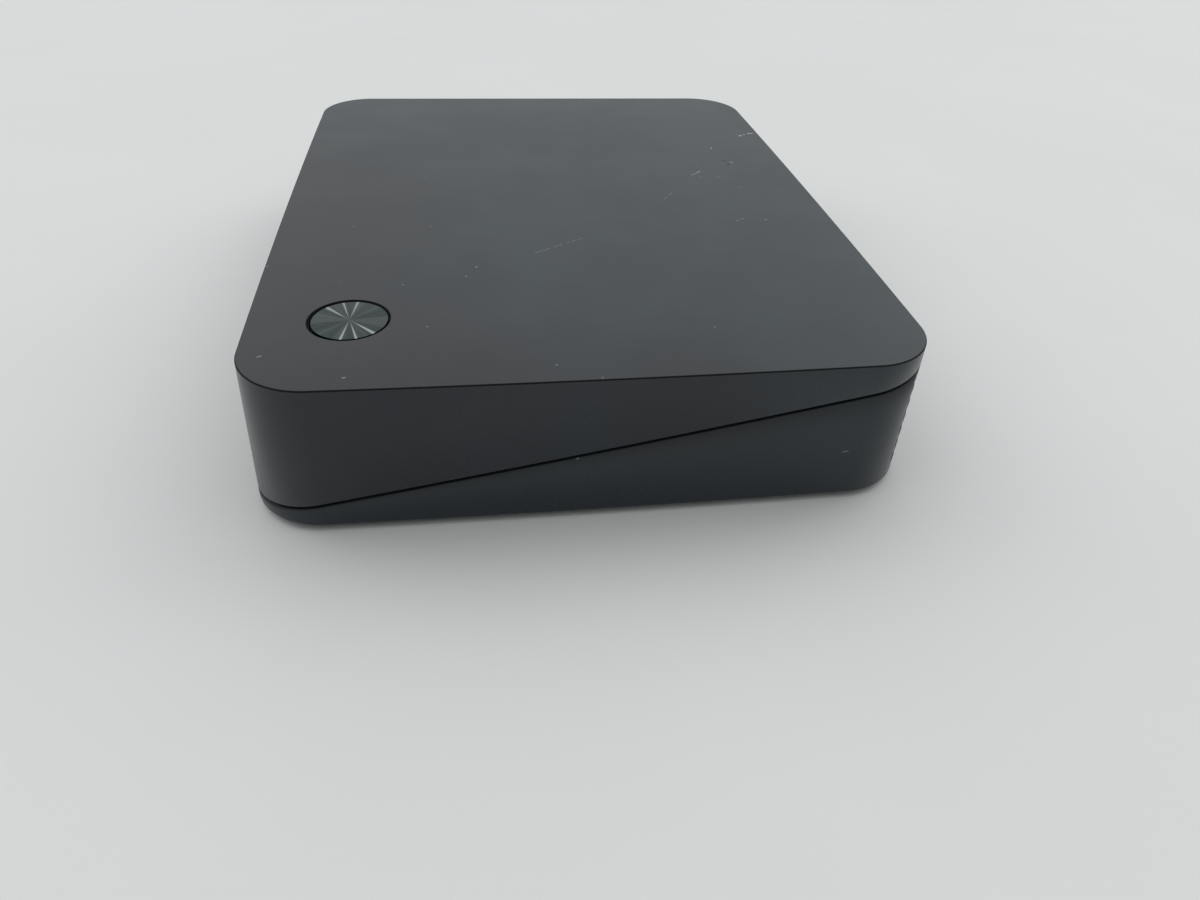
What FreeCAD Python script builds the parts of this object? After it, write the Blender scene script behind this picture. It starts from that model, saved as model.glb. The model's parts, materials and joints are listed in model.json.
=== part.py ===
import FreeCAD, Part
import math
import os

import Sketcher
from FreeCAD import Vector

# A television recorder box: a low black case of two moulded shells that meet along a seam rising
# from left to right, with one round metal power button on top. Millimetres, +X right, +Y back,
# +Z up, origin on the floor under the middle of the case.

SIZES = [
    # case
    ("case_width", 200.0, "across the foot of the side walls, at their widest"),
    ("case_depth", 250.0, "front to back, at the longest"),
    ("shell_height", 46.2, "both shells together, without the feet"),
    ("foot_height", 2.0, "how far the feet lift the case"),
    ("corner_radius", 20.4, "upright corners of the case"),
    ("side_bow", 0.8, "swell of the left and right walls"),
    ("front_bow", 0.7, "swell of the front wall"),
    ("left_lean", 2.7, "how far the left wall leans in towards the top"),
    ("right_lean", 0.7, "how far the right wall leans in towards the top"),
    ("side_wall", 2.2, "thickness of the upright walls"),
    ("top_wall", 2.2, "thickness of the top"),
    ("floor_wall", 2.4, "thickness of the floor"),
    ("top_edge_radius", 0.5, "round of the top edge"),
    ("floor_edge_radius", 1.0, "round of the bottom edge"),
    # seam
    ("seam_left_rise", 3.6, "seam above the bottom edge at the left"),
    ("seam_right_drop", 5.8, "seam below the top at the right"),
    ("seam_gap", 0.9, "open joint between the shells"),
    ("lip_height", 2.0, "tongue of the tray above its rim"),
    ("lip_thickness", 1.0, "tongue of the tray"),
    ("lip_clearance", 0.15, "between the tongue and the cover"),
    # case screws
    ("post_from_side", 12.0, "screw posts from the left and right"),
    ("post_from_end", 13.0, "screw posts from the front and back"),
    ("post_height", 7.6, "tray's screw posts above the floor"),
    ("post_radius", 5.0, "tray's screw posts"),
    ("cover_post_radius", 3.5, "cover's screw posts"),
    ("case_screw_seat", 6.0, "depth of the screw heads' seats"),
    ("case_screw_length", 16.0, "screws that hold the shells"),
    ("screw_radius", 1.25, "shank of the small screws"),
    ("screw_play", 0.1, "round a shank in its pilot hole"),
    ("screw_head_radius", 2.8, "pan heads"),
    ("screw_head_height", 1.7, "pan heads"),
    ("screw_head_play", 0.5, "round a head in its counterbore"),
    ("pilot_floor", 1.0, "left below a pilot hole in the floor"),
    # feet
    ("foot_radius", 7.0, "rubber feet"),
    ("foot_recess", 0.8, "depth of the feet's seats in the floor"),
    ("foot_height_edge", 1.2, "upright edge of a foot below the case"),
    ("foot_taper", 0.8, "feet narrower at the floor"),
    ("foot_from_side", 26.0, "feet from the left and right"),
    ("foot_from_end", 22.0, "feet from the front and back"),
    # vents
    ("vent_width", 2.4, "floor slots"),
    ("vent_pitch", 5.2, "floor slots"),
    ("fan_vent_length", 42.0, "slots under the fan"),
    ("fan_vent_count", 9, "slots under the fan"),
    ("drive_vent_length", 56.0, "slots under the drive"),
    ("drive_vent_count", 9, "slots under the drive"),
    ("side_vent_height", 3.4, "slots of the right wall"),
    ("side_vent_row", 5.2, "pitch of the rows"),
    ("side_vent_rise", 5.7, "lowest row above the bottom edge"),
    ("side_vent_length", 16.0, "slots of the right wall"),
    ("side_vent_step", 20.0, "pitch along a row"),
    ("side_vent_rows", 6, "rows"),
    ("side_vent_count", 9, "slots in a row"),
    ("side_vent_from_front", 7.0, "first slot from the front"),
    ("side_vent_reach", 6.5, "how far the slots cut in from the right"),
    # button
    ("button_from_left", 31.7, "middle of the button"),
    ("button_from_front", 36.6, "middle of the button"),
    ("button_radius", 10.8, "metal disc"),
    ("button_gap", 0.7, "ring round the disc"),
    ("button_recess", 0.1, "disc below the top"),
    ("button_thickness", 1.4, "metal disc"),
    ("button_travel", 0.5, "press"),
    ("button_play", 0.35, "between moving and fixed pieces"),
    ("disc_play", 0.25, "between the disc and the light guide's rim"),
    ("guide_drop", 1.2, "rim of the light guide below the top"),
    ("guide_flange", 1.5, "thickness of the light guide's flange"),
    ("guide_skirt", 8.0, "light guide below its flange"),
    ("guide_wall", 0.8, "thickness of the skirt"),
    ("guide_fit", 0.05, "light guide in the cover's hole, and other close fits"),
    ("button_bevel", 0.3, "edge of the metal disc"),
    ("button_screw_length", 6.0, "button board's screws"),
    ("receiver_lens", 3.0, "receiver's front behind the board's tongue"),
    ("flange_radius", 13.0, "button carrier's flange"),
    ("flange_thickness", 1.2, "button carrier's flange"),
    ("stem_radius", 3.0, "button carrier's stem"),
    ("button_board_drop", 11.0, "button board below the ceiling"),
    ("button_board_thickness", 1.2, "button board"),
    ("button_post_reach", 17.0, "button board's posts from the middle"),
    ("button_post_radius", 2.4, "button board's posts"),
    ("button_board_half_width", 20.0, "button board"),
    ("button_board_half_depth", 14.0, "button board"),
    ("button_board_tab", 8.0, "button board's tongue towards the front"),
    ("button_board_tab_half_width", 8.0, "button board's tongue"),
    ("receiver_width", 6.0, "remote control receiver"),
    ("receiver_height", 6.5, "remote control receiver"),
    ("receiver_depth", 4.5, "remote control receiver"),
    ("led_width", 2.0, "status lamps"),
    ("led_height", 0.8, "status lamps"),
    ("switch_width", 6.2, "push switch"),
    ("switch_height", 3.4, "push switch"),
    ("switch_wall", 0.8, "floor of the push switch"),
    ("plunger_radius", 1.65, "push switch's plunger"),
    ("plunger_rise", 1.5, "plunger above the switch"),
    ("plunger_play", 0.1, "round the plunger"),
    ("press_gap", 0.05, "stem above the plunger"),
    # main board
    ("board_post_height", 6.0, "main board above the floor"),
    ("board_post_radius", 3.2, "main board's posts"),
    ("board_thickness", 1.6, "main board"),
    ("board_from_side", 10.0, "main board from the left and right"),
    ("board_gap", 1.0, "main board to the screw posts"),
    ("board_from_fan", 4.0, "main board behind the fan"),
    ("board_from_drive", 3.0, "main board beside and behind the drive"),
    ("board_setback", 0.3, "main board in front of the connector panel"),
    ("board_hole_inset", 6.0, "main board's screws from its edges"),
    ("board_screw_length", 7.0, "main board's screws"),
    ("memory_width", 9.0, "memory chips"),
    ("memory_depth", 13.0, "memory chips"),
    ("memory_height", 1.1, "memory chips"),
    ("memory_gap", 4.0, "memory chips behind the heatsink"),
    ("tuner_width", 34.0, "tuner's shield"),
    ("tuner_depth", 28.0, "tuner's shield"),
    ("tuner_height", 9.0, "tuner's shield"),
    ("tuner_sheet", 0.6, "tuner's shield"),
    ("capacitor_radius", 4.0, "power capacitors"),
    ("capacitor_height", 11.5, "power capacitors"),
    ("capacitor_pitch", 10.0, "power capacitors"),
    ("coil_width", 9.0, "power coils"),
    ("coil_height", 4.5, "power coils"),
    ("header_height", 5.0, "cable sockets"),
    ("header_depth", 5.0, "cable sockets"),
    ("header_wall", 1.2, "cable sockets beside the cable"),
    ("header_from_edge", 6.0, "cable sockets from the board's front edge"),
    ("drive_header_from_edge", 24.0, "drive's socket from the board's front edge"),
    ("button_cable_width", 10.0, "flat cable of the button board"),
    ("button_cable_thickness", 0.4, "flat cable of the button board"),
    ("button_cable_bend", 3.0, "flat cable of the button board"),
    ("fan_cable_width", 4.0, "fan's cable"),
    ("fan_cable_thickness", 1.2, "fan's cable"),
    ("fan_cable_offset", 14.0, "fan's cable from the fan's middle"),
    ("processor_width", 23.0, "main chip"),
    ("processor_height", 1.8, "main chip"),
    ("pad_thickness", 0.6, "thermal pad"),
    ("heatsink_width", 42.0, "heatsink"),
    ("heatsink_base", 3.0, "heatsink's plate"),
    ("fin_height", 11.0, "heatsink's fins"),
    ("fin_thickness", 1.4, "heatsink's fins"),
    ("fin_count", 9, "heatsink's fins"),
    # drive
    ("drive_width", 101.6, "three and a half inch drive"),
    ("drive_length", 147.0, "three and a half inch drive"),
    ("drive_height", 26.1, "three and a half inch drive"),
    ("drive_from_right", 8.0, "drive from the right side"),
    ("drive_from_front", 26.5, "drive from the front"),
    ("bracket_thickness", 1.0, "steel bracket"),
    ("bracket_setback", 8.0, "bracket shorter than the drive at each end"),
    ("bracket_flange", 13.0, "bracket's sides"),
    ("drive_post_height", 2.0, "drive's posts above the floor"),
    ("drive_post_radius", 4.6, "drive's posts"),
    ("grommet_height", 2.0, "rubber mounts"),
    ("grommet_radius", 4.6, "rubber mounts"),
    ("drive_lift", 3.0, "drive above the bracket's plate"),
    ("drive_post_reach_x", 36.0, "drive's posts from its middle"),
    ("drive_post_reach_y", 50.0, "drive's posts from its middle"),
    ("drive_hole_rise", 6.35, "side holes above the drive's underside"),
    ("drive_hole_first", 28.5, "first side hole from the drive's back"),
    ("drive_hole_pitch", 101.6, "between the side holes"),
    ("drive_hole_depth", 4.0, "side holes"),
    ("drive_screw_length", 4.5, "drive's side screws"),
    ("drive_corner", 3.0, "round of the drive's corners"),
    ("drive_lid", 1.6, "drive's lid with its boss"),
    ("drive_boss", 0.6, "raised round of the lid"),
    ("drive_boss_radius", 20.0, "raised round of the lid"),
    ("drive_boss_shift", 22.0, "raised round towards the back"),
    ("drive_lid_inset", 1.5, "lid inside the drive's edge"),
    ("drive_lid_corner", 6.0, "lid's cut corners"),
    ("drive_rim", 3.0, "casting round the drive's board"),
    ("drive_board_length", 72.0, "recess for the drive's board"),
    ("drive_board_recess", 3.0, "recess for the drive's board"),
    ("drive_board_thickness", 1.4, "drive's board"),
    ("drive_board_play", 0.5, "round the drive's board"),
    ("bracket_window", 62.0, "window in the bracket's plate"),
    ("bracket_screw_length", 5.6, "bracket's screws"),
    ("plug_from_left", 5.0, "drive's plug from the drive's left side"),
    ("plug_length", 10.0, "drive's plug"),
    ("plug_height", 6.5, "drive's plug"),
    ("plug_rise", 8.5, "drive's plug above the drive's underside"),
    ("drive_cable_width", 34.0, "drive's flat cable"),
    ("drive_cable_thickness", 1.2, "drive's flat cable"),
    ("drive_cable_bend", 1.5, "drive's flat cable"),
    # fan
    ("fan_from_drive", 18.4, "between the fan and the drive"),
    ("fan_thickness", 15.0, "fan frame"),
    ("fan_hole_inset", 5.0, "fan's screw holes from its sides"),
    ("fan_duct_wall", 1.8, "fan frame at its thinnest"),
    ("fan_hub_radius", 13.0, "rotor's hub"),
    ("fan_tip_gap", 0.8, "blades to the duct"),
    ("fan_blade_count", 7, "rotor's blades"),
    ("fan_post_height", 4.0, "fan's posts above the floor"),
    ("fan_from_left", 12.0, "fan from the left side"),
    ("fan_from_front", 27.0, "fan from the front"),
    ("fan_strut", 2.5, "thickness of the fan's struts"),
    ("fan_strut_width", 3.0, "fan's struts"),
    ("fan_axle_radius", 1.0, "fan's axle"),
    ("fan_axle_play", 0.06, "round the axle"),
    ("fan_wall", 1.5, "rotor's hub"),
    ("fan_blade_thickness", 1.6, "rotor's blades"),
    ("fan_root_lead", 3.5, "half the blade's sweep at the hub"),
    ("fan_tip_lead", 9.0, "half the blade's sweep at the tip"),
    ("fan_rotor_gap", 0.8, "rotor above the struts"),
    # back panel
    ("bay_depth", 10.0, "connector panel behind the back of the case"),
    ("bay_margin", 15.5, "bay from the screw posts' middles"),
    ("bay_below_board", 1.4, "bay below the main board's top"),
    ("bay_height", 18.8, "bay"),
    ("bay_wall", 1.6, "walls of the bay"),
    ("bay_clearance", 0.25, "bay wider than the case's window"),
    ("bay_flange", 2.6, "flange round the bay"),
    ("panel_thickness", 2.0, "connector panel"),
    ("panel_play", 0.25, "round each connector"),
    ("jack_nose", 0.5, "connectors in front of the panel"),
    ("coax_radius", 4.76, "three eighths of an inch thread"),
    ("coax_neck", 4.5, "barrel's neck through the panel and the nut"),
    ("coax_length", 9.0, "barrel in front of the panel"),
    ("coax_rise", 7.5, "barrel's middle above the board"),
    ("coax_block", 14.0, "die-cast block's width and height"),
    ("coax_block_depth", 12.0, "die-cast block"),
    ("coax_bore", 3.4, "barrel's bore"),
    ("coax_core_recess", 0.6, "insulator inside the barrel's mouth"),
    ("coax_hole", 0.7, "contact hole in the insulator"),
    ("nut_width", 11.0, "across the nut's flats"),
    ("nut_thickness", 2.0, "nut"),
    ("ethernet_width", 16.0, "network jack"),
    ("ethernet_height", 13.4, "network jack"),
    ("ethernet_length", 21.0, "network jack"),
    ("ethernet_opening", 11.8, "network jack's mouth"),
    ("ethernet_opening_height", 7.0, "network jack's mouth"),
    ("ethernet_depth", 12.0, "network jack's mouth"),
    ("ethernet_sill", 3.6, "network jack's mouth above the board"),
    ("ethernet_latch", 6.4, "notch for the plug's latch"),
    ("ethernet_latch_depth", 2.0, "notch for the plug's latch"),
    ("jack_back", 2.0, "closed back of the jacks"),
    ("tongue_gap", 0.6, "round the USB jack's tongue"),
    ("tongue_setback", 1.0, "tongues and pin behind the jacks' noses"),
    ("usb_tongue", 1.9, "USB jack's tongue"),
    ("hdmi_tongue", 1.4, "video jack's tongue"),
    ("hdmi_corner", 1.8, "cut corners of the video jack"),
    ("usb_width", 13.2, "USB jack"),
    ("usb_height", 5.8, "USB jack"),
    ("usb_length", 14.0, "USB jack"),
    ("hdmi_width", 15.0, "video jack"),
    ("hdmi_height", 5.6, "video jack"),
    ("hdmi_length", 11.0, "video jack"),
    ("shell_sheet", 0.4, "sheet of the USB and video jacks"),
    ("optical_width", 9.8, "optical jack"),
    ("optical_height", 10.4, "optical jack"),
    ("optical_length", 13.5, "optical jack"),
    ("optical_wall", 0.8, "optical jack's walls"),
    ("shutter_setback", 1.0, "flap behind the jack's nose"),
    ("shutter_pin", 0.4, "flap's pins in the walls"),
    ("pin_play", 0.08, "round the flap's pins"),
    ("shutter_thickness", 1.0, "optical jack's flap"),
    ("shutter_play", 0.25, "round the flap"),
    ("power_width", 9.0, "power jack"),
    ("power_height", 11.0, "power jack"),
    ("power_length", 14.0, "power jack"),
    ("power_bore", 3.0, "power jack's bore"),
    ("power_pin", 1.05, "power jack's pin"),
]

doc = FreeCAD.newDocument("television_recorder_box")


class Size:
    """A number together with the sheet expression that gives it."""

    def __init__(self, number, text=None):
        self.number = float(number)
        self.text = text or "(%s)" % repr(round(self.number, 6))

    def join(self, other, sign, number):
        return Size(number, "(%s %s %s)" % (self.text, sign, other.text))

    def __add__(self, other):
        other = as_size(other)
        return self.join(other, "+", self.number + other.number)

    def __radd__(self, other):
        return as_size(other) + self

    def __sub__(self, other):
        other = as_size(other)
        return self.join(other, "-", self.number - other.number)

    def __rsub__(self, other):
        return as_size(other) - self

    def __mul__(self, other):
        other = as_size(other)
        return self.join(other, "*", self.number * other.number)

    def __rmul__(self, other):
        return as_size(other) * self

    def __truediv__(self, other):
        other = as_size(other)
        return self.join(other, "/", self.number / other.number)

    def __neg__(self):
        return as_size(0) - self


def as_size(value):
    return value if isinstance(value, Size) else Size(value)


def fill_sheet():
    """Put the driving sizes in the spreadsheet and return them by name."""
    sheet = doc.addObject("Spreadsheet::Sheet", "sizes")
    named = {}
    for row, (alias, number, note) in enumerate(SIZES, 1):
        sheet.set("A%d" % row, alias)
        sheet.set("B%d" % row, str(number))
        sheet.set("C%d" % row, note)
        sheet.setAlias("B%d" % row, alias)
        named[alias] = Size(number, "sizes." + alias)
    doc.recompute()
    return named


class Named:
    def __init__(self, values):
        self.__dict__.update(values)


d = Named(fill_sheet())


def bind(thing, prop, size):
    thing.setExpression(prop, as_size(size).text)


# Drawing in sketches

def datum(sketch, kind, *where_and_size):
    *where, size = where_and_size
    size = as_size(size)
    index = sketch.addConstraint(Sketcher.Constraint(kind, *where, size.number))
    bind(sketch, "Constraints[%d]" % index, size)


def polygon(points):
    def draw(sketch):
        first = sketch.GeometryCount
        spots = [Vector(as_size(x).number, as_size(y).number, 0) for x, y in points]
        sketch.addGeometry([Part.LineSegment(a, b) for a, b in zip(spots, spots[1:] + spots[:1])])
        count = len(points)
        for i in range(count):
            sketch.addConstraint(Sketcher.Constraint("Coincident", first + i, 2, first + (i + 1) % count, 1))
        for i, (x, y) in enumerate(points):
            datum(sketch, "DistanceX", first + i, 1, x)
            datum(sketch, "DistanceY", first + i, 1, y)
    return draw


def rectangle(x0, x1, y0, y1):
    return polygon([(x0, y0), (x1, y0), (x1, y1), (x0, y1)])


def square(x, y, half):
    return rectangle(x - half, x + half, y - half, y + half)


def circle(x, y, radius):
    def draw(sketch):
        x_size, y_size, r_size = as_size(x), as_size(y), as_size(radius)
        middle = Vector(x_size.number, y_size.number, 0)
        index = sketch.addGeometry(Part.Circle(middle, Vector(0, 0, 1), r_size.number))
        datum(sketch, "DistanceX", index, 3, x_size)
        datum(sketch, "DistanceY", index, 3, y_size)
        datum(sketch, "Radius", index, r_size)
    return draw


def circles(places, radius):
    return [circle(x, y, radius) for x, y in places]


def inner_touch(a, reach_a, b, reach_b, corner):
    """The point at the given distances from a and b that lies nearest the corner."""
    along = (b - a).normalize()
    gap = (b - a).Length
    foot = (reach_a ** 2 - reach_b ** 2 + gap ** 2) / (2 * gap)
    height = math.sqrt(reach_a ** 2 - foot ** 2)
    across = Vector(-along.y, along.x, 0)
    both = [a + along * foot + across * height * side for side in (1, -1)]
    return min(both, key=lambda spot: (spot - corner).Length)


def case_outline(height, inset):
    """The case's plan at a height: three bowed walls, a straight back and four round corners."""
    rise = (height - d.foot_height) / d.shell_height
    left_shift = d.left_lean * rise
    right_shift = d.right_lean * rise
    half_side = d.case_depth / 2 - d.corner_radius
    half_front = d.case_width / 2 - d.corner_radius
    side_radius = (half_side * half_side + d.side_bow * d.side_bow) / (2 * d.side_bow)
    front_radius = (half_front * half_front + d.front_bow * d.front_bow) / (2 * d.front_bow)
    back = d.case_depth / 2
    walls = {
        "front": ((left_shift - right_shift) / 2, front_radius - d.case_depth / 2, front_radius),
        "right": (d.case_width / 2 - right_shift - side_radius, d.front_bow / 2, side_radius),
        "left": (side_radius + left_shift - d.case_width / 2, d.front_bow / 2, side_radius),
    }
    corner = d.corner_radius.number

    def draw(sketch):
        mid = {k: Vector(x.number, y.number, 0) for k, (x, y, r) in walls.items()}
        reach = {k: r.number - corner for k, (x, y, r) in walls.items()}
        far = Vector(back.number, back.number, 0)
        front_right = inner_touch(mid["front"], reach["front"], mid["right"], reach["right"],
                                  Vector(far.x, -far.y, 0))
        front_left = inner_touch(mid["front"], reach["front"], mid["left"], reach["left"],
                                 Vector(-far.x, -far.y, 0))
        back_y = back.number - corner
        swing = math.sqrt(reach["right"] ** 2 - (back_y - mid["right"].y) ** 2)
        back_right = Vector(mid["right"].x + swing, back_y, 0)
        back_left = Vector(mid["left"].x - swing, back_y, 0)

        def heading(a, b):
            return math.atan2(b.y - a.y, b.x - a.x) % (2 * math.pi)

        def arc(centre, radius, start, end):
            if end < start:
                start -= 2 * math.pi
            return Part.ArcOfCircle(Part.Circle(centre, Vector(0, 0, 1), radius), start, end)

        thin = as_size(inset).number
        small = corner - thin
        to_front = [heading(mid["front"], front_left), heading(mid["front"], front_right)]
        to_right = [heading(mid["right"], front_right), heading(mid["right"], back_right)]
        to_left = [heading(mid["left"], back_left), heading(mid["left"], front_left)]
        quarter = math.pi / 2
        line_y = back.number - thin
        sketch.addGeometry([
            arc(mid["front"], reach["front"] + small, *to_front),
            arc(front_right, small, to_front[1], to_right[0]),
            arc(mid["right"], reach["right"] + small, *to_right),
            arc(back_right, small, to_right[1], quarter),
            Part.LineSegment(Vector(back_right.x, line_y, 0), Vector(back_left.x, line_y, 0)),
            arc(back_left, small, quarter, to_left[0]),
            arc(mid["left"], reach["left"] + small, *to_left),
            arc(front_left, small, to_left[1], to_front[0]),
        ])
        for i in range(8):
            sketch.addConstraint(Sketcher.Constraint("Tangent", i, 2, (i + 1) % 8, 1))
        for index, wall in ((0, "front"), (2, "right"), (6, "left")):
            x, y, radius = walls[wall]
            datum(sketch, "DistanceX", index, 3, x)
            datum(sketch, "DistanceY", index, 3, y)
            datum(sketch, "Radius", index, radius - inset)
        for index in (1, 3, 5, 7):
            datum(sketch, "Radius", index, d.corner_radius - inset)
        datum(sketch, "DistanceY", 4, 1, back - inset)
        sketch.addConstraint(Sketcher.Constraint("Horizontal", 4))
    return draw


# Solids

PLANES = {"XY": 1, "XZ": -1, "YZ": 1}
pieces = []


class Piece:
    """A body built feature by feature; plane positions and lengths run along +X, +Y or +Z."""

    def __init__(self, label, base=None, kept=True):
        self.body = doc.addObject("PartDesign::Body", label)
        self.body.Label = label
        self.volume = 0
        if base:
            self.body.BaseFeature = base
            doc.recompute()
            self.volume = self.body.Shape.Volume
        if kept:
            pieces.append(self.body)

    def sketch(self, plane, at, profiles, origin=(0, 0)):
        face = next(f for f in self.body.Origin.OriginFeatures if f.Role == plane + "_Plane")
        sketch = self.body.newObject("Sketcher::SketchObject", self.body.Name + "_sketch")
        sketch.AttachmentSupport = [(face, "")]
        sketch.MapMode = "FlatFace"
        bind(sketch, "AttachmentOffset.Base.x", origin[0])
        bind(sketch, "AttachmentOffset.Base.y", origin[1])
        bind(sketch, "AttachmentOffset.Base.z", as_size(at) * PLANES[plane])
        for draw in profiles:
            draw(sketch)
        return sketch

    def feature(self, kind, profile):
        made = self.body.newObject("PartDesign::" + kind, self.body.Name + "_" + kind.lower())
        made.Profile = profile
        return made

    def settle(self, made, grows):
        """Recompute, and stop if a feature failed or went the wrong way."""
        doc.recompute()
        volume = self.body.Shape.Volume
        if "Up-to-date" not in made.State or (volume > self.volume) != grows:
            raise ValueError("%s did nothing to %s" % (made.Name, self.body.Label))
        self.volume = volume
        return made

    def pad(self, plane, start, end, *profiles):
        made = self.feature("Pad", self.sketch(plane, start, profiles))
        bind(made, "Length", as_size(end) - start)
        made.Reversed = PLANES[plane] < 0
        return self.settle(made, True)

    def pocket(self, plane, start, end, *profiles):
        made = self.feature("Pocket", self.sketch(plane, start, profiles))
        bind(made, "Length", as_size(end) - start)
        made.Reversed = PLANES[plane] > 0
        return self.settle(made, False)

    def turn(self, x, y, points, hollow=False):
        """Revolve a profile of radius and height round the upright axis at x, y."""
        kind = "Groove" if hollow else "Revolution"
        sketch = self.sketch("XZ", y, [polygon(points)], (x, 0))
        made = self.feature(kind, sketch)
        made.ReferenceAxis = (sketch, ["V_Axis"])
        made.Angle = 360
        return self.settle(made, not hollow)

    def loft(self, sketches, hollow=False):
        made = self.feature("SubtractiveLoft" if hollow else "AdditiveLoft", sketches[0])
        made.Sections = sketches[1:]
        made.Ruled = True
        return self.settle(made, not hollow)

    def repeat(self, made, role, length, count):
        """Copy a feature along one of the body's own axes."""
        axis = next(f for f in self.body.Origin.OriginFeatures if f.Role == role + "_Axis")
        pattern = self.body.newObject("PartDesign::LinearPattern", self.body.Name + "_row")
        pattern.Originals = made if isinstance(made, list) else [made]
        pattern.Direction = (axis, [""])
        bind(pattern, "Length", length)
        bind(pattern, "Occurrences", count)
        self.body.Tip = pattern
        doc.recompute()
        self.volume = self.body.Shape.Volume
        return pattern

    def turn_copies(self, made, axis, count):
        pattern = self.body.newObject("PartDesign::PolarPattern", self.body.Name + "_ring")
        pattern.Originals = [made]
        pattern.Axis = axis
        pattern.Angle = 360
        bind(pattern, "Occurrences", count)
        self.body.Tip = pattern
        doc.recompute()
        self.volume = self.body.Shape.Volume
        return pattern

    def round_edges(self, radius, wanted, grows=False):
        """Round the edges of the solid so far that the test picks."""
        base = self.body.Tip
        names = ["Edge%d" % i for i, edge in enumerate(base.Shape.Edges, 1) if wanted(edge)]
        made = self.body.newObject("PartDesign::Fillet", self.body.Name + "_round")
        made.Base = (base, names)
        bind(made, "Radius", radius)
        return self.settle(made, grows)


def level_at(height):
    """Picks edges that lie flat at a height."""
    number = as_size(height).number
    return lambda edge: abs(edge.BoundBox.ZMin - number) < 0.01 and abs(edge.BoundBox.ZMax - number) < 0.01


def upright_at(places):
    """Picks upright edges that stand at the given places."""
    spots = [(as_size(x).number, as_size(y).number) for x, y in places]
    return lambda edge: any(
        abs(edge.BoundBox.XMin - x) + abs(edge.BoundBox.XMax - x)
        + abs(edge.BoundBox.YMin - y) + abs(edge.BoundBox.YMax - y) < 0.01 for x, y in spots)


def joined(kind, label, *parts, kept=False):
    """A boolean of whole solids: Cut and Common take two, MultiFuse and Compound any number."""
    made = doc.addObject("Part::" + kind, label)
    made.Label = label
    if kind in ("Cut", "Common"):
        made.Base, made.Tool = parts
    elif kind == "Compound":
        made.Links = list(parts)
    else:
        made.Shapes = list(parts)
    doc.recompute()
    if kept:
        pieces.append(made)
    return made


def block(label, x0, x1, y0, y1, z0, z1, kept=False):
    made = doc.addObject("Part::Box", label)
    made.Label = label
    bind(made, "Length", as_size(x1) - x0)
    bind(made, "Width", as_size(y1) - y0)
    bind(made, "Height", as_size(z1) - z0)
    bind(made, "Placement.Base.x", x0)
    bind(made, "Placement.Base.y", y0)
    bind(made, "Placement.Base.z", z0)
    if kept:
        pieces.append(made)
    return made


ALONG = {
    "X": FreeCAD.Rotation(Vector(0, 1, 0), 90),
    "Y": FreeCAD.Rotation(Vector(1, 0, 0), -90),
    "Z": FreeCAD.Rotation(),
}


def rod(label, axis, x, y, z, radius, length, kept=False):
    """A cylinder from x, y, z along one axis."""
    made = doc.addObject("Part::Cylinder", label)
    made.Label = label
    bind(made, "Radius", radius)
    bind(made, "Height", length)
    made.Placement = FreeCAD.Placement(Vector(), ALONG[axis])
    bind(made, "Placement.Base.x", x)
    bind(made, "Placement.Base.y", y)
    bind(made, "Placement.Base.z", z)
    if kept:
        pieces.append(made)
    return made


def screw(label, x, y, head_z, length, up=False):
    """A pan-head screw with its head's seat at head_z, driven down, or up into a roof."""
    if up:
        head = rod(label + "_head", "Z", x, y, head_z - d.screw_head_height, d.screw_head_radius,
                   d.screw_head_height)
        shank = rod(label + "_shank", "Z", x, y, head_z, d.screw_radius, length)
    else:
        head = rod(label + "_head", "Z", x, y, head_z, d.screw_head_radius, d.screw_head_height)
        shank = rod(label + "_shank", "Z", x, y, head_z - length, d.screw_radius, length)
    return joined("MultiFuse", label, head, shank)


# Levels and places that several pieces share

top = d.foot_height + d.shell_height
ceiling = top - d.top_wall
floor = d.foot_height + d.floor_wall
right = d.case_width / 2
back = d.case_depth / 2
wall_back = back - d.side_wall
seam_slope = (d.shell_height - d.seam_right_drop - d.seam_left_rise) / d.case_width
seam_middle = d.foot_height + d.seam_left_rise + seam_slope * right
pilot_radius = d.screw_radius + d.screw_play
hole_radius = d.screw_radius + d.screw_head_play
pilot_bottom = d.foot_height + d.pilot_floor


def corners(x, y, half_x, half_y):
    return [(x + sx * half_x, y + sy * half_y) for sx in (-1, 1) for sy in (-1, 1)]


case_posts = corners(0, 0, right - d.post_from_side, back - d.post_from_end)
case_post_top = floor + d.post_height
feet = corners(0, 0, right - d.foot_from_side, back - d.foot_from_end)

button_x = d.button_from_left - right
button_y = d.button_from_front - back
button_posts = [(button_x + side * d.button_post_reach, button_y) for side in (-1, 1)]
button_board_top = ceiling - d.button_board_drop
button_board_bottom = button_board_top - d.button_board_thickness
disc_top = top - d.button_recess
disc_bottom = disc_top - d.button_thickness
guide_bottom = ceiling - d.guide_flange
skirt_outer = d.flange_radius + d.button_play + d.guide_wall
plunger_bottom = button_board_top + d.switch_wall + d.button_travel + d.button_play
plunger_top = button_board_top + d.switch_height + d.plunger_rise

drive_right = right - d.drive_from_right
drive_left = drive_right - d.drive_width
drive_front = d.drive_from_front - back
drive_back = drive_front + d.drive_length
drive_x = drive_left + d.drive_width / 2
drive_y = drive_front + d.drive_length / 2
drive_posts = corners(drive_x, drive_y, d.drive_post_reach_x, d.drive_post_reach_y)
bracket_bottom = floor + d.drive_post_height + d.grommet_height
bracket_top = bracket_bottom + d.bracket_thickness
drive_bottom = bracket_top + d.drive_lift
drive_top = drive_bottom + d.drive_height
bracket_left = drive_left - d.bracket_thickness
bracket_right = drive_right + d.bracket_thickness
drive_screw_z = drive_bottom + d.drive_hole_rise
drive_screw_ys = [drive_back - d.drive_hole_first, drive_back - d.drive_hole_first - d.drive_hole_pitch]

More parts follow.
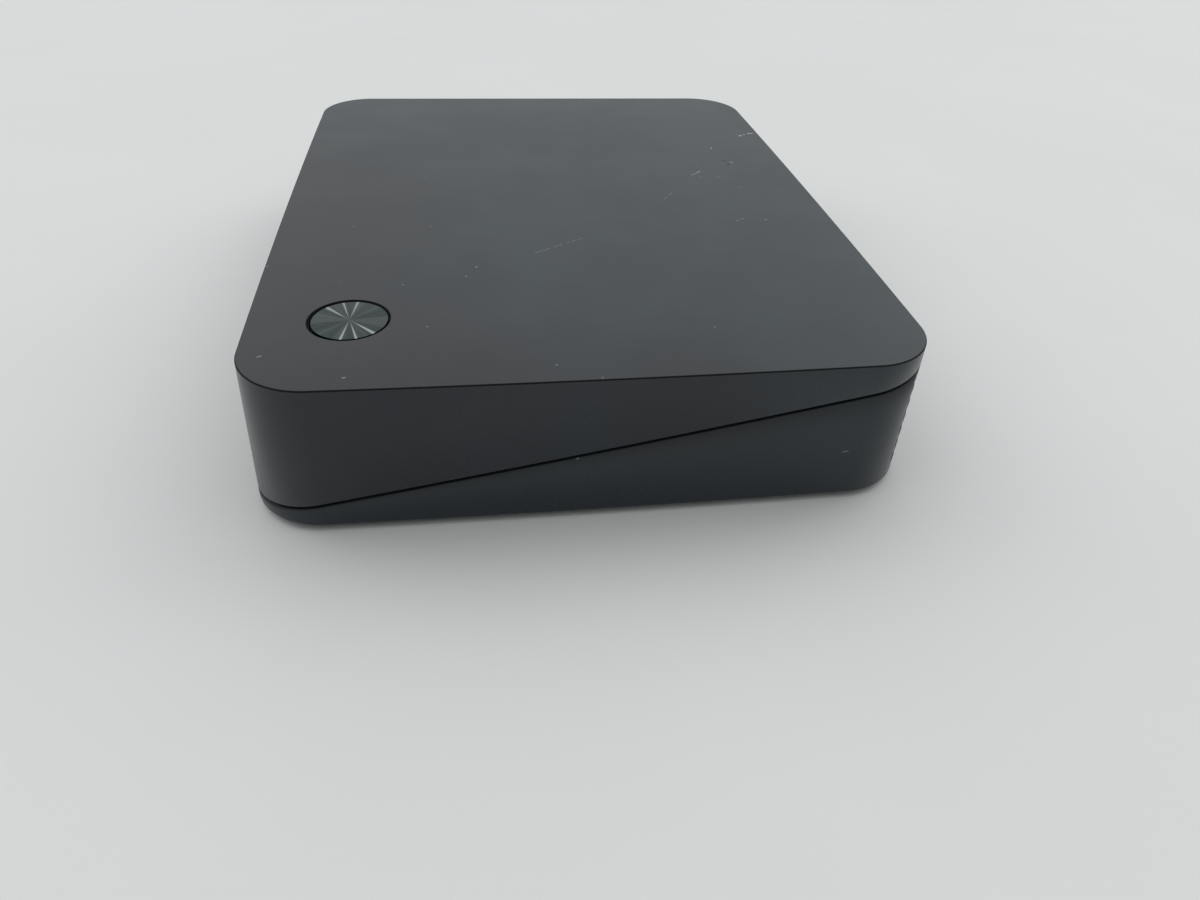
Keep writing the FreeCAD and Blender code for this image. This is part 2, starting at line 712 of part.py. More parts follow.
fan_width = drive_left - d.fan_from_drive - (d.fan_from_left - right)
fan_duct = fan_width / 2 - d.fan_duct_wall
fan_x = d.fan_from_left + fan_width / 2 - right
fan_y = d.fan_from_front + fan_width / 2 - back
fan_bottom = floor + d.fan_post_height
fan_back = fan_y + fan_width / 2
fan_posts = corners(fan_x, fan_y, fan_width / 2 - d.fan_hole_inset, fan_width / 2 - d.fan_hole_inset)

board_bottom = floor + d.board_post_height
board_top = board_bottom + d.board_thickness
bay_half = right - d.post_from_side - d.bay_margin
bay_bottom = board_top - d.bay_below_board
bay_top = bay_bottom + d.bay_height
panel_face = back - d.bay_depth
panel_inside = panel_face - d.panel_thickness
nose = panel_face + d.jack_nose

board_left = d.board_from_side - right
board_right = right - d.board_from_side
board_back = panel_inside - d.board_setback
leg_front = fan_back + d.board_from_fan
leg_right = bracket_left - d.board_from_drive
rear_front = drive_back + d.board_from_drive
notch_x = right - d.post_from_side - d.post_radius - d.board_gap
notch_y = back - d.post_from_end - d.post_radius - d.board_gap
chip_x = (board_left + leg_right) / 2
chip_y = (leg_front + rear_front) / 2


def connector_row():
    """Middles of the connectors, evenly spaced across the bay."""
    widths = [("coax_left", d.coax_block), ("coax_right", d.coax_block), ("ethernet", d.ethernet_width),
              ("usb", d.usb_width), ("hdmi", d.hdmi_width), ("optical", d.optical_width),
              ("power", d.power_width)]
    total = sum((width for name, width in widths), as_size(0))
    gap = (2 * bay_half - total) / (len(widths) + 1)
    edge = -bay_half
    middles = {}
    for name, width in widths:
        middles[name] = edge + gap + width / 2
        edge = edge + gap + width
    return middles, gap


jack_x, jack_gap = connector_row()
coax_xs = [jack_x["coax_left"], jack_x["coax_right"]]
coax_z = board_top + d.coax_rise
between_jacks = jack_x["power"] - d.power_width / 2 - jack_gap / 2
hole_in = d.board_hole_inset
board_posts = [
    (board_left + hole_in, leg_front + hole_in),
    (leg_right - hole_in, leg_front + hole_in),
    (board_left + hole_in, rear_front + hole_in),
    (board_right - hole_in, rear_front + hole_in),
    (drive_x, rear_front + hole_in),
    (between_jacks, board_back - hole_in),
]


# Shells

def seam_side(label, upper, offset):
    """All that lies above or below the slanting seam, moved up by an offset."""
    reach = d.case_width
    ends = [(side * reach, seam_middle + side * seam_slope * reach + offset) for side in (-1, 1)]
    limit = top + d.shell_height if upper else -d.shell_height
    made = Piece(label, kept=False)
    made.pad("XZ", -d.case_depth, d.case_depth, polygon(ends + [(reach, limit), (-reach, limit)]))
    return made.body


def case_form(label, inset, low, high):
    """The solid form of the case inside its outline."""
    made = Piece(label, kept=False)
    made.loft([made.sketch("XY", z, [case_outline(z, inset)]) for z in (low, high)])
    return made.body


def shells():
    """The bare cover and tray: one form, hollowed and parted at the seam with a lap joint."""
    outer = case_form("outer_form", 0, d.foot_height, top)
    hollow = case_form("hollow_form", d.side_wall, floor, ceiling)
    lap = d.side_wall - d.lip_thickness
    lip_form = case_form("lip_form", lap, floor, ceiling)
    rebate_form = case_form("rebate_form", lap - d.lip_clearance, floor, ceiling)
    half_gap = d.seam_gap / 2
    casing = joined("Cut", "casing", outer, hollow)
    lip_ring = joined("Cut", "lip_ring", lip_form, hollow)
    rim = joined("Common", "tray_rim", casing, seam_side("below_rim", False, -half_gap))
    lip = joined("Common", "tray_lip", lip_ring, seam_side("below_lip", False, d.lip_height - half_gap))
    tray = joined("MultiFuse", "tray_form", rim, lip)
    above = joined("Common", "cover_walls", casing, seam_side("above_rim", True, half_gap))
    rebate_top = d.lip_height + d.lip_clearance - half_gap
    rebate = joined("Common", "rebate", rebate_form, seam_side("below_rebate", False, rebate_top))
    cover = joined("Cut", "cover_form", above, rebate)
    return cover, tray


def top_cover(form):
    cover = Piece("top_cover", form)
    cover.round_edges(d.top_edge_radius, level_at(top))
    inside_top = ceiling + d.top_wall / 2
    cover.pad("XY", case_post_top, inside_top, *circles(case_posts, d.cover_post_radius))
    cover.pocket("XY", case_post_top - 1, case_post_top + d.case_screw_length,
                 *circles(case_posts, pilot_radius))
    cover.pad("XY", button_board_top, inside_top, *circles(button_posts, d.button_post_radius))
    cover.pocket("XY", button_board_top - 1, ceiling - d.top_wall, *circles(button_posts, pilot_radius))
    cover.pocket("XY", ceiling - 1, top + 1, circle(button_x, button_y, d.button_radius + d.button_gap))
    cover.pocket("XZ", wall_back - 1, back + 1, rectangle(-bay_half, bay_half, bay_bottom, bay_top))


def bottom_tray(form):
    tray = Piece("bottom_tray", form)
    tray.round_edges(d.floor_edge_radius, level_at(d.foot_height))
    sunk = floor - d.floor_wall / 2
    below = d.foot_height - 1
    tray.pad("XY", sunk, case_post_top, *circles(case_posts, d.post_radius))
    for height, radius, places in (
            (board_bottom, d.board_post_radius, board_posts),
            (floor + d.drive_post_height, d.drive_post_radius, drive_posts),
            (fan_bottom, d.board_post_radius, fan_posts)):
        tray.pad("XY", sunk, height, *circles(places, radius))
        tray.pocket("XY", pilot_bottom, height + 1, *circles(places, pilot_radius))
    tray.pocket("XY", below, d.foot_height + d.case_screw_seat,
                *circles(case_posts, d.screw_head_radius + d.screw_head_play))
    tray.pocket("XY", below, case_post_top + 1, *circles(case_posts, hole_radius))
    tray.pocket("XY", below, d.foot_height + d.foot_recess, *circles(feet, d.foot_radius + d.screw_play))
    tray.pocket("XZ", wall_back - 1, back + 1, rectangle(-bay_half, bay_half, bay_bottom, bay_top))
    floor_vents(tray, fan_x, fan_y, d.fan_vent_length, d.fan_vent_count)
    floor_vents(tray, drive_x, drive_y, d.drive_vent_length, d.drive_vent_count)
    side_vents(tray)


def floor_vents(tray, x, y, length, count):
    span = (count - 1) * d.vent_pitch
    first = x - span / 2
    half = d.vent_width / 2
    slot = tray.pocket("XY", d.foot_height - 1, floor + 1,
                       rectangle(first - half, first + half, y - length / 2, y + length / 2))
    tray.repeat(slot, "X", span, count)


def side_vents(tray):
    """Rows of slots in the right wall, starting in the front corner."""
    first_y = d.side_vent_from_front - back
    first_z = d.foot_height + d.side_vent_rise
    for row in range(int(d.side_vent_rows.number)):
        low = first_z + row * d.side_vent_row
        slot = tray.pocket("YZ", right - d.side_vent_reach, right + 1,
                           rectangle(first_y, first_y + d.side_vent_length, low, low + d.side_vent_height))
        tray.repeat(slot, "Y", (d.side_vent_count - 1) * d.side_vent_step, d.side_vent_count)


def rear_panel():
    """A recessed bay behind the case's back window; its floor is the connector panel."""
    panel = Piece("rear_panel")
    rings = []
    for growth in (0, d.bay_wall, d.bay_wall + d.bay_flange):
        out = d.bay_clearance + growth
        rings.append(rectangle(-bay_half - out, bay_half + out, bay_bottom - out, bay_top + out))
    panel.pad("XZ", panel_inside, wall_back, rings[1])
    panel.pad("XZ", wall_back - d.bay_wall, wall_back, rings[2])
    panel.pocket("XZ", panel_face, wall_back + 1, rings[0])
    play = d.panel_play
    panel.pocket("XZ", panel_inside - 1, panel_face + 1, *circles([(x, coax_z) for x in coax_xs],
                                                                 d.coax_radius + play))
    cutouts = []
    for name, width, height in (
            ("ethernet", d.ethernet_width, d.ethernet_height), ("usb", d.usb_width, d.usb_height),
            ("hdmi", d.hdmi_width, d.hdmi_height), ("optical", d.optical_width, d.optical_height),
            ("power", d.power_width, d.power_height)):
        x = jack_x[name]
        cutouts.append(rectangle(x - width / 2 - play, x + width / 2 + play,
                                 board_top - play, board_top + height + play))
    panel.pocket("XZ", panel_inside - 1, panel_face + 1, *cutouts)


def rubber_feet():
    made = []
    for i, (x, y) in enumerate(feet):
        sole = doc.addObject("Part::Cone", "foot_sole_%d" % i)
        bind(sole, "Radius1", d.foot_radius - d.foot_taper)
        bind(sole, "Radius2", d.foot_radius)
        bind(sole, "Height", d.foot_height - d.foot_height_edge)
        bind(sole, "Placement.Base.x", x)
        bind(sole, "Placement.Base.y", y)
        body = rod("foot_body_%d" % i, "Z", x, y, d.foot_height - d.foot_height_edge, d.foot_radius,
                   d.foot_height_edge + d.foot_recess)
        made.append(joined("MultiFuse", "foot_%d" % i, sole, body))
    joined("Compound", "rubber_feet", *made, kept=True)


def screws(label, places, seat, length, up=False):
    made = [screw("%s_%d" % (label, i), x, y, seat, length, up) for i, (x, y) in enumerate(places)]
    joined("Compound", label, *made, kept=True)


# Power button

def power_button():
    bevel = d.button_bevel
    cap = Piece("power_button_cap")
    cap.turn(button_x, button_y, [
        (0, disc_bottom), (d.button_radius, disc_bottom), (d.button_radius, disc_top - bevel),
        (d.button_radius - bevel, disc_top), (0, disc_top)])

    drum = d.button_radius - d.screw_play
    flange_top = guide_bottom - d.button_play
    flange_bottom = flange_top - d.flange_thickness
    stem_bottom = plunger_top + d.press_gap
    carrier = Piece("button_carrier")
    carrier.turn(button_x, button_y, [
        (0, disc_bottom), (drum, disc_bottom), (drum, flange_top), (d.flange_radius, flange_top),
        (d.flange_radius, flange_bottom), (d.stem_radius, flange_bottom), (d.stem_radius, stem_bottom),
        (0, stem_bottom)])

    inner = d.button_radius + d.disc_play
    outer = d.button_radius + d.button_gap - d.guide_fit
    skirt_inner = d.flange_radius + d.button_play
    skirt_bottom = guide_bottom - d.guide_skirt
    guide = Piece("light_guide_ring")
    guide.turn(button_x, button_y, [
        (inner, guide_bottom), (inner, top - d.guide_drop), (outer, top - d.guide_drop), (outer, ceiling),
        (skirt_outer, ceiling), (skirt_outer, skirt_bottom), (skirt_inner, skirt_bottom),
        (skirt_inner, guide_bottom)])


def button_electronics():
    half_w = d.button_board_half_width
    half_d = d.button_board_half_depth
    tab = d.button_board_tab_half_width
    front = button_y - half_d
    tip = front - d.button_board_tab
    board = Piece("button_board")
    board.pad("XY", button_board_bottom, button_board_top, polygon([
        (button_x - half_w, front), (button_x - tab, front), (button_x - tab, tip), (button_x + tab, tip),
        (button_x + tab, front), (button_x + half_w, front), (button_x + half_w, button_y + half_d),
        (button_x - half_w, button_y + half_d)]), *circles(button_posts, hole_radius))
    screws("button_board_screws", button_posts, button_board_bottom, d.button_screw_length, up=True)

    switch = Piece("tact_switch")
    switch.pad("XY", button_board_top, button_board_top + d.switch_height,
               square(button_x, button_y, d.switch_width / 2))
    switch.pocket("XY", button_board_top + d.switch_wall, button_board_top + d.switch_height + 1,
                  circle(button_x, button_y, d.plunger_radius + d.plunger_play))
    rod("tact_switch_plunger", "Z", button_x, button_y, plunger_bottom, d.plunger_radius,
        plunger_top - plunger_bottom, kept=True)

    ring = (d.flange_radius + d.button_play + d.guide_wall / 2) * math.sqrt(0.5)
    lamps = []
    for i, (x, y) in enumerate(corners(button_x, button_y, ring, ring)):
        half = d.led_width / 2
        lamps.append(block("lamp_%d" % i, x - half, x + half, y - half, y + half, button_board_top,
                           button_board_top + d.led_height))
    joined("Compound", "status_leds", *lamps, kept=True)

    half = d.receiver_width / 2
    lens = tip + d.receiver_lens
    case = block("receiver_case", button_x - half, button_x + half, lens, lens + d.receiver_depth,
                 button_board_top, button_board_top + d.receiver_height)
    dome = rod("receiver_dome", "Z", button_x, lens, button_board_top, half * 0.75,
               d.receiver_height - d.led_height)
    joined("MultiFuse", "infrared_receiver", case, dome, kept=True)


def ribbon(label, x, width, start_y, high, end_y, low, thickness, bend):
    """A flat cable that runs back at one level and then turns down."""
    made = Piece(label)
    made.pad("YZ", x - width / 2, x + width / 2, polygon([
        (start_y, high - thickness), (start_y, high), (end_y, high), (end_y, low),
        (end_y - thickness, low), (end_y - thickness, high - thickness)]))

    def along(y, z):
        return lambda edge: (
            abs(edge.BoundBox.YMin - y.number) + abs(edge.BoundBox.YMax - y.number)
            + abs(edge.BoundBox.ZMin - z.number) + abs(edge.BoundBox.ZMax - z.number)) < 0.01

    made.round_edges(bend, along(end_y - thickness, high - thickness), grows=True)
    made.round_edges(bend + thickness, along(end_y, high))


# Main board

def main_board():
    board = Piece("main_board")
    board.pad("XY", board_bottom, board_top, polygon([
        (board_left, leg_front), (leg_right, leg_front), (leg_right, rear_front), (board_right, rear_front),
        (board_right, notch_y), (notch_x, notch_y), (notch_x, board_back), (-notch_x, board_back),
        (-notch_x, notch_y), (board_left, notch_y)]), *circles(board_posts, hole_radius))
    screws("board_screws", board_posts, board_top, d.board_screw_length)


def processor_and_heatsink():
    chip_top = board_top + d.processor_height
    pad_top = chip_top + d.pad_thickness
    half = d.processor_width / 2
    block("processor", chip_x - half, chip_x + half, chip_y - half, chip_y + half,
          board_top, chip_top, kept=True)
    rest = half - d.pad_thickness
    block("thermal_pad", chip_x - rest, chip_x + rest, chip_y - rest, chip_y + rest,
          chip_top, pad_top, kept=True)

    sink = Piece("heatsink")
    half = d.heatsink_width / 2
    base_top = pad_top + d.heatsink_base
    sink.pad("XY", pad_top, base_top, square(chip_x, chip_y, half))
    fin = sink.pad("XY", base_top, base_top + d.fin_height,
                   rectangle(chip_x - half, chip_x - half + d.fin_thickness, chip_y - half, chip_y + half))
    sink.repeat(fin, "X", d.heatsink_width - d.fin_thickness, d.fin_count)


def board_parts():
    """Chips, tuner, capacitors, coils and cable headers that stand on the main board."""
    half = d.memory_width / 2
    chips = []
    for side in (-1, 1):
        x = chip_x + side * d.heatsink_width / 4
        y = chip_y + d.heatsink_width / 2 + d.memory_gap
        chips.append(block("memory_%d" % len(chips), x - half, x + half, y, y + d.memory_depth, board_top,
                           board_top + d.memory_height))
    joined("Compound", "memory_chips", *chips, kept=True)

    tuner_x = (coax_xs[0] + coax_xs[1]) / 2
    back_y = panel_inside - d.coax_block_depth - d.board_gap
    half = d.tuner_width / 2
    tuner_top = board_top + d.tuner_height
    frame = Piece("tuner_frame")
    outline = rectangle(tuner_x - half, tuner_x + half, back_y - d.tuner_depth, back_y)
    inset = d.tuner_sheet
    frame.pad("XY", board_top, tuner_top, outline, rectangle(
        tuner_x - half + inset, tuner_x + half - inset, back_y - d.tuner_depth + inset, back_y - inset))
    block("tuner_lid", tuner_x - half, tuner_x + half, back_y - d.tuner_depth, back_y, tuner_top,
          tuner_top + inset, kept=True)

    power_x = jack_x["power"]
    cans = []
    behind = panel_inside - d.power_length - d.capacitor_radius
    for i, (x, y) in enumerate(corners(power_x, behind - d.capacitor_pitch, d.capacitor_pitch / 2,
                                       d.capacitor_pitch / 2)):
        cans.append(rod("capacitor_%d" % i, "Z", x, y, board_top, d.capacitor_radius, d.capacitor_height))
    joined("Compound", "capacitors", *cans, kept=True)

    coils = []
    half = d.coil_width / 2
    for i in range(2):
        x = jack_x["hdmi"] + i * (d.coil_width + d.board_gap)
        y = behind - d.capacitor_pitch
        coils.append(block("coil_%d" % i, x - half, x + half, y - half, y + half, board_top,
                           board_top + d.coil_height))
    joined("Compound", "power_coils", *coils, kept=True)


def headers_and_cables():
    """Flat cables from the button board and the fan, and the drive's cable, with their sockets."""
    header_top = board_top + d.header_height
    half = d.header_depth / 2
    button_end = leg_front + d.header_from_edge
    drive_end = rear_front + d.drive_header_from_edge
    fan_cable_x = fan_x + d.fan_cable_offset
    sockets = []
    for name, x, width, y in (("button", button_x, d.button_cable_width, button_end),
                              ("fan", fan_cable_x, d.fan_cable_width, button_end),
                              ("drive", plug_x, d.drive_cable_width, drive_end)):
        side = width / 2 + d.header_wall
        sockets.append(block(name + "_socket", x - side, x + side, y - half, y + half,
                             board_top, header_top))
    joined("Compound", "board_headers", *sockets, kept=True)

    under = button_board_bottom - d.header_height / 2
    edge = button_y + d.button_board_half_depth
    side = d.button_cable_width / 2 + d.header_wall
    block("button_socket_under", button_x - side, button_x + side, edge - d.header_depth, edge,
          button_board_bottom - d.header_height, button_board_bottom)
    joined("Compound", "button_board_header", doc.getObject("button_socket_under"), kept=True)
    ribbon("button_cable", button_x, d.button_cable_width, edge, under, button_end, header_top,
           d.button_cable_thickness, d.button_cable_bend)

    ribbon("drive_cable", plug_x, d.drive_cable_width, plug_back, plug_z + d.drive_cable_thickness / 2,
           drive_end, header_top, d.drive_cable_thickness, d.drive_cable_bend)

    middle = (board_top + header_top) / 2
    half_w = d.fan_cable_width / 2
    block("fan_cable", fan_cable_x - half_w, fan_cable_x + half_w, fan_back, button_end - half,
          middle - d.fan_cable_thickness / 2, middle + d.fan_cable_thickness / 2, kept=True)


# Drive

plug_x = drive_left + d.plug_from_left + d.drive_cable_width / 2
plug_back = drive_back + d.plug_length
plug_z = drive_bottom + d.plug_rise


def hard_drive():
    lid_bottom = drive_top - d.drive_lid
    case = Piece("hard_drive_case")
    case.pad("XY", drive_bottom, lid_bottom, rectangle(drive_left, drive_right, drive_front, drive_back))
    case.round_edges(d.drive_corner, upright_at([(x, y) for x in (drive_left, drive_right)
                                                 for y in (drive_front, drive_back)]))
    rim = d.drive_rim
    pcb_front = drive_back - d.drive_board_length
    case.pocket("XY", drive_bottom - 1, drive_bottom + d.drive_board_recess,
                rectangle(drive_left + rim, drive_right - rim, pcb_front, drive_back - rim))
    side_holes = [circle(y, drive_screw_z, pilot_radius) for y in drive_screw_ys]
    case.pocket("YZ", drive_left - 1, drive_left + d.drive_hole_depth, *side_holes)
    case.pocket("YZ", drive_right - d.drive_hole_depth, drive_right + 1, *side_holes)

    gap = d.drive_board_play
    block("hard_drive_board", drive_left + rim + gap, drive_right - rim - gap, pcb_front + gap,
          drive_back - rim - gap, drive_bottom + d.drive_board_recess - d.drive_board_thickness,
          drive_bottom + d.drive_board_recess, kept=True)

    edge = d.drive_lid_inset
    cut = d.drive_lid_corner
    x0, x1, y0, y1 = drive_left + edge, drive_right - edge, drive_front + edge, drive_back - edge
    lid = Piece("hard_drive_lid")
    lid.pad("XY", lid_bottom, drive_top - d.drive_boss, polygon([
        (x0 + cut, y0), (x1 - cut, y0), (x1, y0 + cut), (x1, y1 - cut), (x1 - cut, y1), (x0 + cut, y1),
        (x0, y1 - cut), (x0, y0 + cut)]))
    lid.pad("XY", drive_top - d.drive_boss, drive_top,
            circle(drive_x, drive_y + d.drive_boss_shift, d.drive_boss_radius))


def drive_mounting():
    y0 = drive_front + d.bracket_setback
    y1 = drive_back - d.bracket_setback
    window = d.bracket_window
    bracket = Piece("drive_bracket")
    bracket.pad("XY", bracket_bottom, bracket_top, rectangle(bracket_left, bracket_right, y0, y1))
    bracket.pad("XY", bracket_bottom, bracket_top + d.bracket_flange,
                rectangle(bracket_left, drive_left, y0, y1), rectangle(drive_right, bracket_right, y0, y1))
    bracket.pocket("XY", bracket_bottom - 1, bracket_top + 1, square(drive_x, drive_y, window / 2),
                   *circles(drive_posts, hole_radius))
    bracket.pocket("YZ", bracket_left - 1, bracket_right + 1,
                   *[circle(y, drive_screw_z, hole_radius) for y in drive_screw_ys])
    screws("bracket_screws", drive_posts, bracket_top, d.bracket_screw_length)

    rings = []
    for i, (x, y) in enumerate(drive_posts):
        z = floor + d.drive_post_height
        outer = rod("grommet_body_%d" % i, "Z", x, y, z, d.grommet_radius, d.grommet_height)
        bore = rod("grommet_bore_%d" % i, "Z", x, y, z - 1, hole_radius, d.grommet_height + 2)
        rings.append(joined("Cut", "grommet_%d" % i, outer, bore))
    joined("Compound", "drive_grommets", *rings, kept=True)

    made = []
    for y in drive_screw_ys:
        for side, wall in ((-1, bracket_left), (1, bracket_right)):
            head_x = wall if side > 0 else wall - d.screw_head_height
            shank_x = wall if side < 0 else wall - d.drive_screw_length
            name = "side_screw_%d" % len(made)
            head = rod(name + "_head", "X", head_x, y, drive_screw_z,
                       d.screw_head_radius, d.screw_head_height)
            shank = rod(name + "_shank", "X", shank_x, y, drive_screw_z,
                        d.screw_radius, d.drive_screw_length)
            made.append(joined("MultiFuse", name, head, shank))
    joined("Compound", "drive_screws", *made, kept=True)

    half = d.drive_cable_width / 2 + d.header_wall
    block("drive_plug", plug_x - half, plug_x + half, drive_back, plug_back, plug_z - d.plug_height / 2,
          plug_z + d.plug_height / 2, kept=True)


# Fan

def fan():
    half = fan_width / 2
    fan_top = fan_bottom + d.fan_thickness
    base_top = fan_bottom + d.fan_strut
    strut = d.fan_strut_width / 2
    frame = Piece("fan_frame")
    frame.pad("XY", fan_bottom, fan_top, square(fan_x, fan_y, half), circle(fan_x, fan_y, fan_duct),
              *circles(fan_posts, hole_radius))
    reach = fan_duct + strut
    frame.pad("XY", fan_bottom, base_top, circle(fan_x, fan_y, d.fan_hub_radius))
    frame.pad("XY", fan_bottom, base_top,
              rectangle(fan_x - reach, fan_x + reach, fan_y - strut, fan_y + strut))
    frame.pad("XY", fan_bottom, base_top,
              rectangle(fan_x - strut, fan_x + strut, fan_y - reach, fan_y + reach))
    rotor_bottom = base_top + d.fan_rotor_gap
    rotor_top = fan_top - d.fan_rotor_gap
    axle_top = rotor_top - d.fan_wall - d.fan_rotor_gap
    frame.pad("XY", base_top, axle_top, circle(fan_x, fan_y, d.fan_axle_radius))
    screws("fan_screws", fan_posts, fan_top, d.fan_thickness + d.fan_post_height)

    bore = d.fan_axle_radius + d.fan_axle_play
    hub = d.fan_hub_radius
    rotor = Piece("fan_rotor")
    rotor.turn(fan_x, fan_y, [
        (0, rotor_top), (hub, rotor_top), (hub, rotor_bottom), (hub - d.fan_wall, rotor_bottom),
        (hub - d.fan_wall, rotor_top - d.fan_wall), (bore + d.fan_wall, rotor_top - d.fan_wall),
        (bore + d.fan_wall, rotor_bottom), (bore, rotor_bottom), (bore, rotor_top - d.fan_wall),
        (0, rotor_top - d.fan_wall)])
    tip = fan_duct - d.fan_tip_gap
    thick = d.fan_blade_thickness
    sections = []
    for radius, lead in ((hub - d.fan_wall / 2, d.fan_root_lead), (tip, d.fan_tip_lead)):
        y0, y1 = fan_y - lead, fan_y + lead
        low, high = rotor_bottom, rotor_top
        sections.append(rotor.sketch("YZ", fan_x + radius, [polygon([
            (y0, low), (y0 + thick, low), (y1, high - thick), (y1, high), (y1 - thick, high),
            (y0, low + thick)])]))
    blade = rotor.loft(sections)
    axis = rotor.sketch("XY", rotor_bottom, [], (fan_x, fan_y))
    rotor.turn_copies(blade, (axis, ["N_Axis"]), d.fan_blade_count)
    rotor.pocket("XY", fan_bottom, fan_top, circle(fan_x, fan_y, tip), circle(fan_x, fan_y, tip + hub))


# Connectors

def coax_connectors():
    bodies, cores, nuts = [], [], []
    half = d.coax_block / 2
    y0 = panel_inside - d.coax_block_depth
    barrel_end = panel_face + d.coax_length
    nut = d.nut_width / 2
    for i, x in enumerate(coax_xs):
        body = block("coax_block_%d" % i, x - half, x + half, y0, panel_inside, board_top, coax_z + half)
        neck = rod("coax_neck_%d" % i, "Y", x, panel_inside - 1, coax_z, d.coax_neck,
                   d.panel_thickness + d.nut_thickness + 2)
        barrel = rod("coax_barrel_%d" % i, "Y", x, panel_face + d.nut_thickness, coax_z, d.coax_radius,
                     d.coax_length - d.nut_thickness)
        bore = rod("coax_bore_%d" % i, "Y", x, panel_face, coax_z, d.coax_bore, d.coax_length + 1)
        solid = joined("MultiFuse", "coax_solid_%d" % i, body, neck, barrel)
        bodies.append(joined("Cut", "coax_%d" % i, solid, bore))
        core = rod("core_%d" % i, "Y", x, panel_face, coax_z, d.coax_bore - d.guide_fit,
                   d.coax_length - d.coax_core_recess)
        hole = rod("core_hole_%d" % i, "Y", x, panel_face + 1, coax_z, d.coax_hole, d.coax_length)
        cores.append(joined("Cut", "coax_core_%d" % i, core, hole))
        ring = Piece("coax_nut_%d" % i, kept=False)
        turns = [math.radians(a) for a in range(0, 360, 60)]
        points = [(x + nut / COS_30 * math.cos(turn), coax_z + nut / COS_30 * math.sin(turn))
                  for turn in turns]
        ring.pad("XZ", panel_face, panel_face + d.nut_thickness, polygon(points),
                 circle(x, coax_z, d.coax_radius + d.guide_fit))
        nuts.append(ring.body)
    joined("Compound", "coax_connectors", *bodies, kept=True)
    joined("Compound", "coax_insulators", *cores, kept=True)
    joined("Compound", "coax_nuts", *nuts, kept=True)


COS_30 = math.cos(math.radians(30))


def jack(label, width, height, length):
    """A plain connector block standing on the main board with its nose through the panel."""
    x = jack_x[label]
    made = Piece(label + "_jack")
    made.pad("XZ", nose - length, nose,
             rectangle(x - width / 2, x + width / 2, board_top, board_top + height))
    return made, x


def ethernet_jack():
    made, x = jack("ethernet", d.ethernet_width, d.ethernet_height, d.ethernet_length)
    bottom = board_top + d.ethernet_sill
    half = d.ethernet_opening / 2
    latch = d.ethernet_latch / 2
    made.pocket("XZ", nose - d.ethernet_depth, nose + 1,
                rectangle(x - half, x + half, bottom, bottom + d.ethernet_opening_height))
    made.pocket("XZ", nose - d.ethernet_depth, nose + 1,
                rectangle(x - latch, x + latch, bottom - d.ethernet_latch_depth, bottom + 1))


def usb_jack():
    made, x = jack("usb", d.usb_width, d.usb_height, d.usb_length)
    sheet = d.shell_sheet
    half = d.usb_width / 2 - sheet
    low = board_top + sheet
    high = board_top + d.usb_height - sheet
    mouth = nose - d.usb_length + d.jack_back
    made.pocket("XZ", mouth, nose + 1, rectangle(x - half, x + half, low, high))
    tongue_top = high - d.tongue_gap
    made.pad("XZ", mouth - d.jack_back / 2, nose - d.tongue_setback,
             rectangle(x - half + d.tongue_gap, x + half - d.tongue_gap,
                       tongue_top - d.usb_tongue, tongue_top))


def hdmi_jack():
    x = jack_x["hdmi"]

    def profile(inset):
        half = d.hdmi_width / 2 - inset
        low = board_top + inset
        high = board_top + d.hdmi_height - inset
        cut = d.hdmi_corner - inset / 2
        return polygon([(x - half, high), (x - half, low + cut), (x - half + cut, low),
                        (x + half - cut, low), (x + half, low + cut), (x + half, high)])

    made = Piece("hdmi_jack")
    mouth = nose - d.hdmi_length + d.jack_back
    made.pad("XZ", nose - d.hdmi_length, nose, profile(as_size(0)))
    made.pocket("XZ", mouth, nose + 1, profile(d.shell_sheet))
    half = d.hdmi_width / 2 - d.shell_sheet - d.hdmi_corner
    middle = board_top + d.hdmi_height / 2
    made.pad("XZ", mouth - d.jack_back / 2, nose - d.tongue_setback,
             rectangle(x - half, x + half, middle - d.hdmi_tongue / 2, middle + d.hdmi_tongue / 2))


def optical_jack():
    made, x = jack("optical", d.optical_width, d.optical_height, d.optical_length)
    half = d.optical_width / 2 - d.optical_wall
    low = board_top + d.optical_wall
    high = board_top + d.optical_height - d.optical_wall
    deep = nose - d.optical_length + d.jack_back
    made.pocket("XZ", deep, nose + 1, rectangle(x - half, x + half, low, high))
    play = d.shutter_play
    round_end = d.shutter_thickness / 2
    hinge_y = nose - d.shutter_setback - round_end
    hinge_z = high - play - round_end
    pin_reach = half + d.shutter_pin
    pin_radius = round_end - d.pin_play
    made.pocket("YZ", x - pin_reach - d.pin_play, x + pin_reach + d.pin_play,
                circle(hinge_y, hinge_z, pin_radius + d.pin_play))
    flap = block("flap", x - half + play, x + half - play, hinge_y - round_end, hinge_y + round_end,
                 low + play, hinge_z)
    knuckle = rod("flap_knuckle", "X", x - half + play, hinge_y, hinge_z, round_end, 2 * (half - play))
    pins = rod("flap_pins", "X", x - pin_reach, hinge_y, hinge_z, pin_radius, 2 * pin_reach)
    joined("MultiFuse", "optical_shutter", flap, knuckle, pins, kept=True)


def power_jack():
    made, x = jack("power", d.power_width, d.power_height, d.power_length)
    z = board_top + d.power_height / 2
    deep = nose - d.power_length + d.jack_back
    made.pocket("XZ", deep, nose + 1, circle(x, z, d.power_bore))
    made.pad("XZ", deep - d.jack_back / 2, nose - d.tongue_setback, circle(x, z, d.power_pin))


def check(thing):
    """Stop on any failed object or bad shape before a file is written."""
    if "Invalid" in thing.State or "Error" in thing.State:
        raise ValueError("%s failed: %s" % (thing.Label, thing.State))


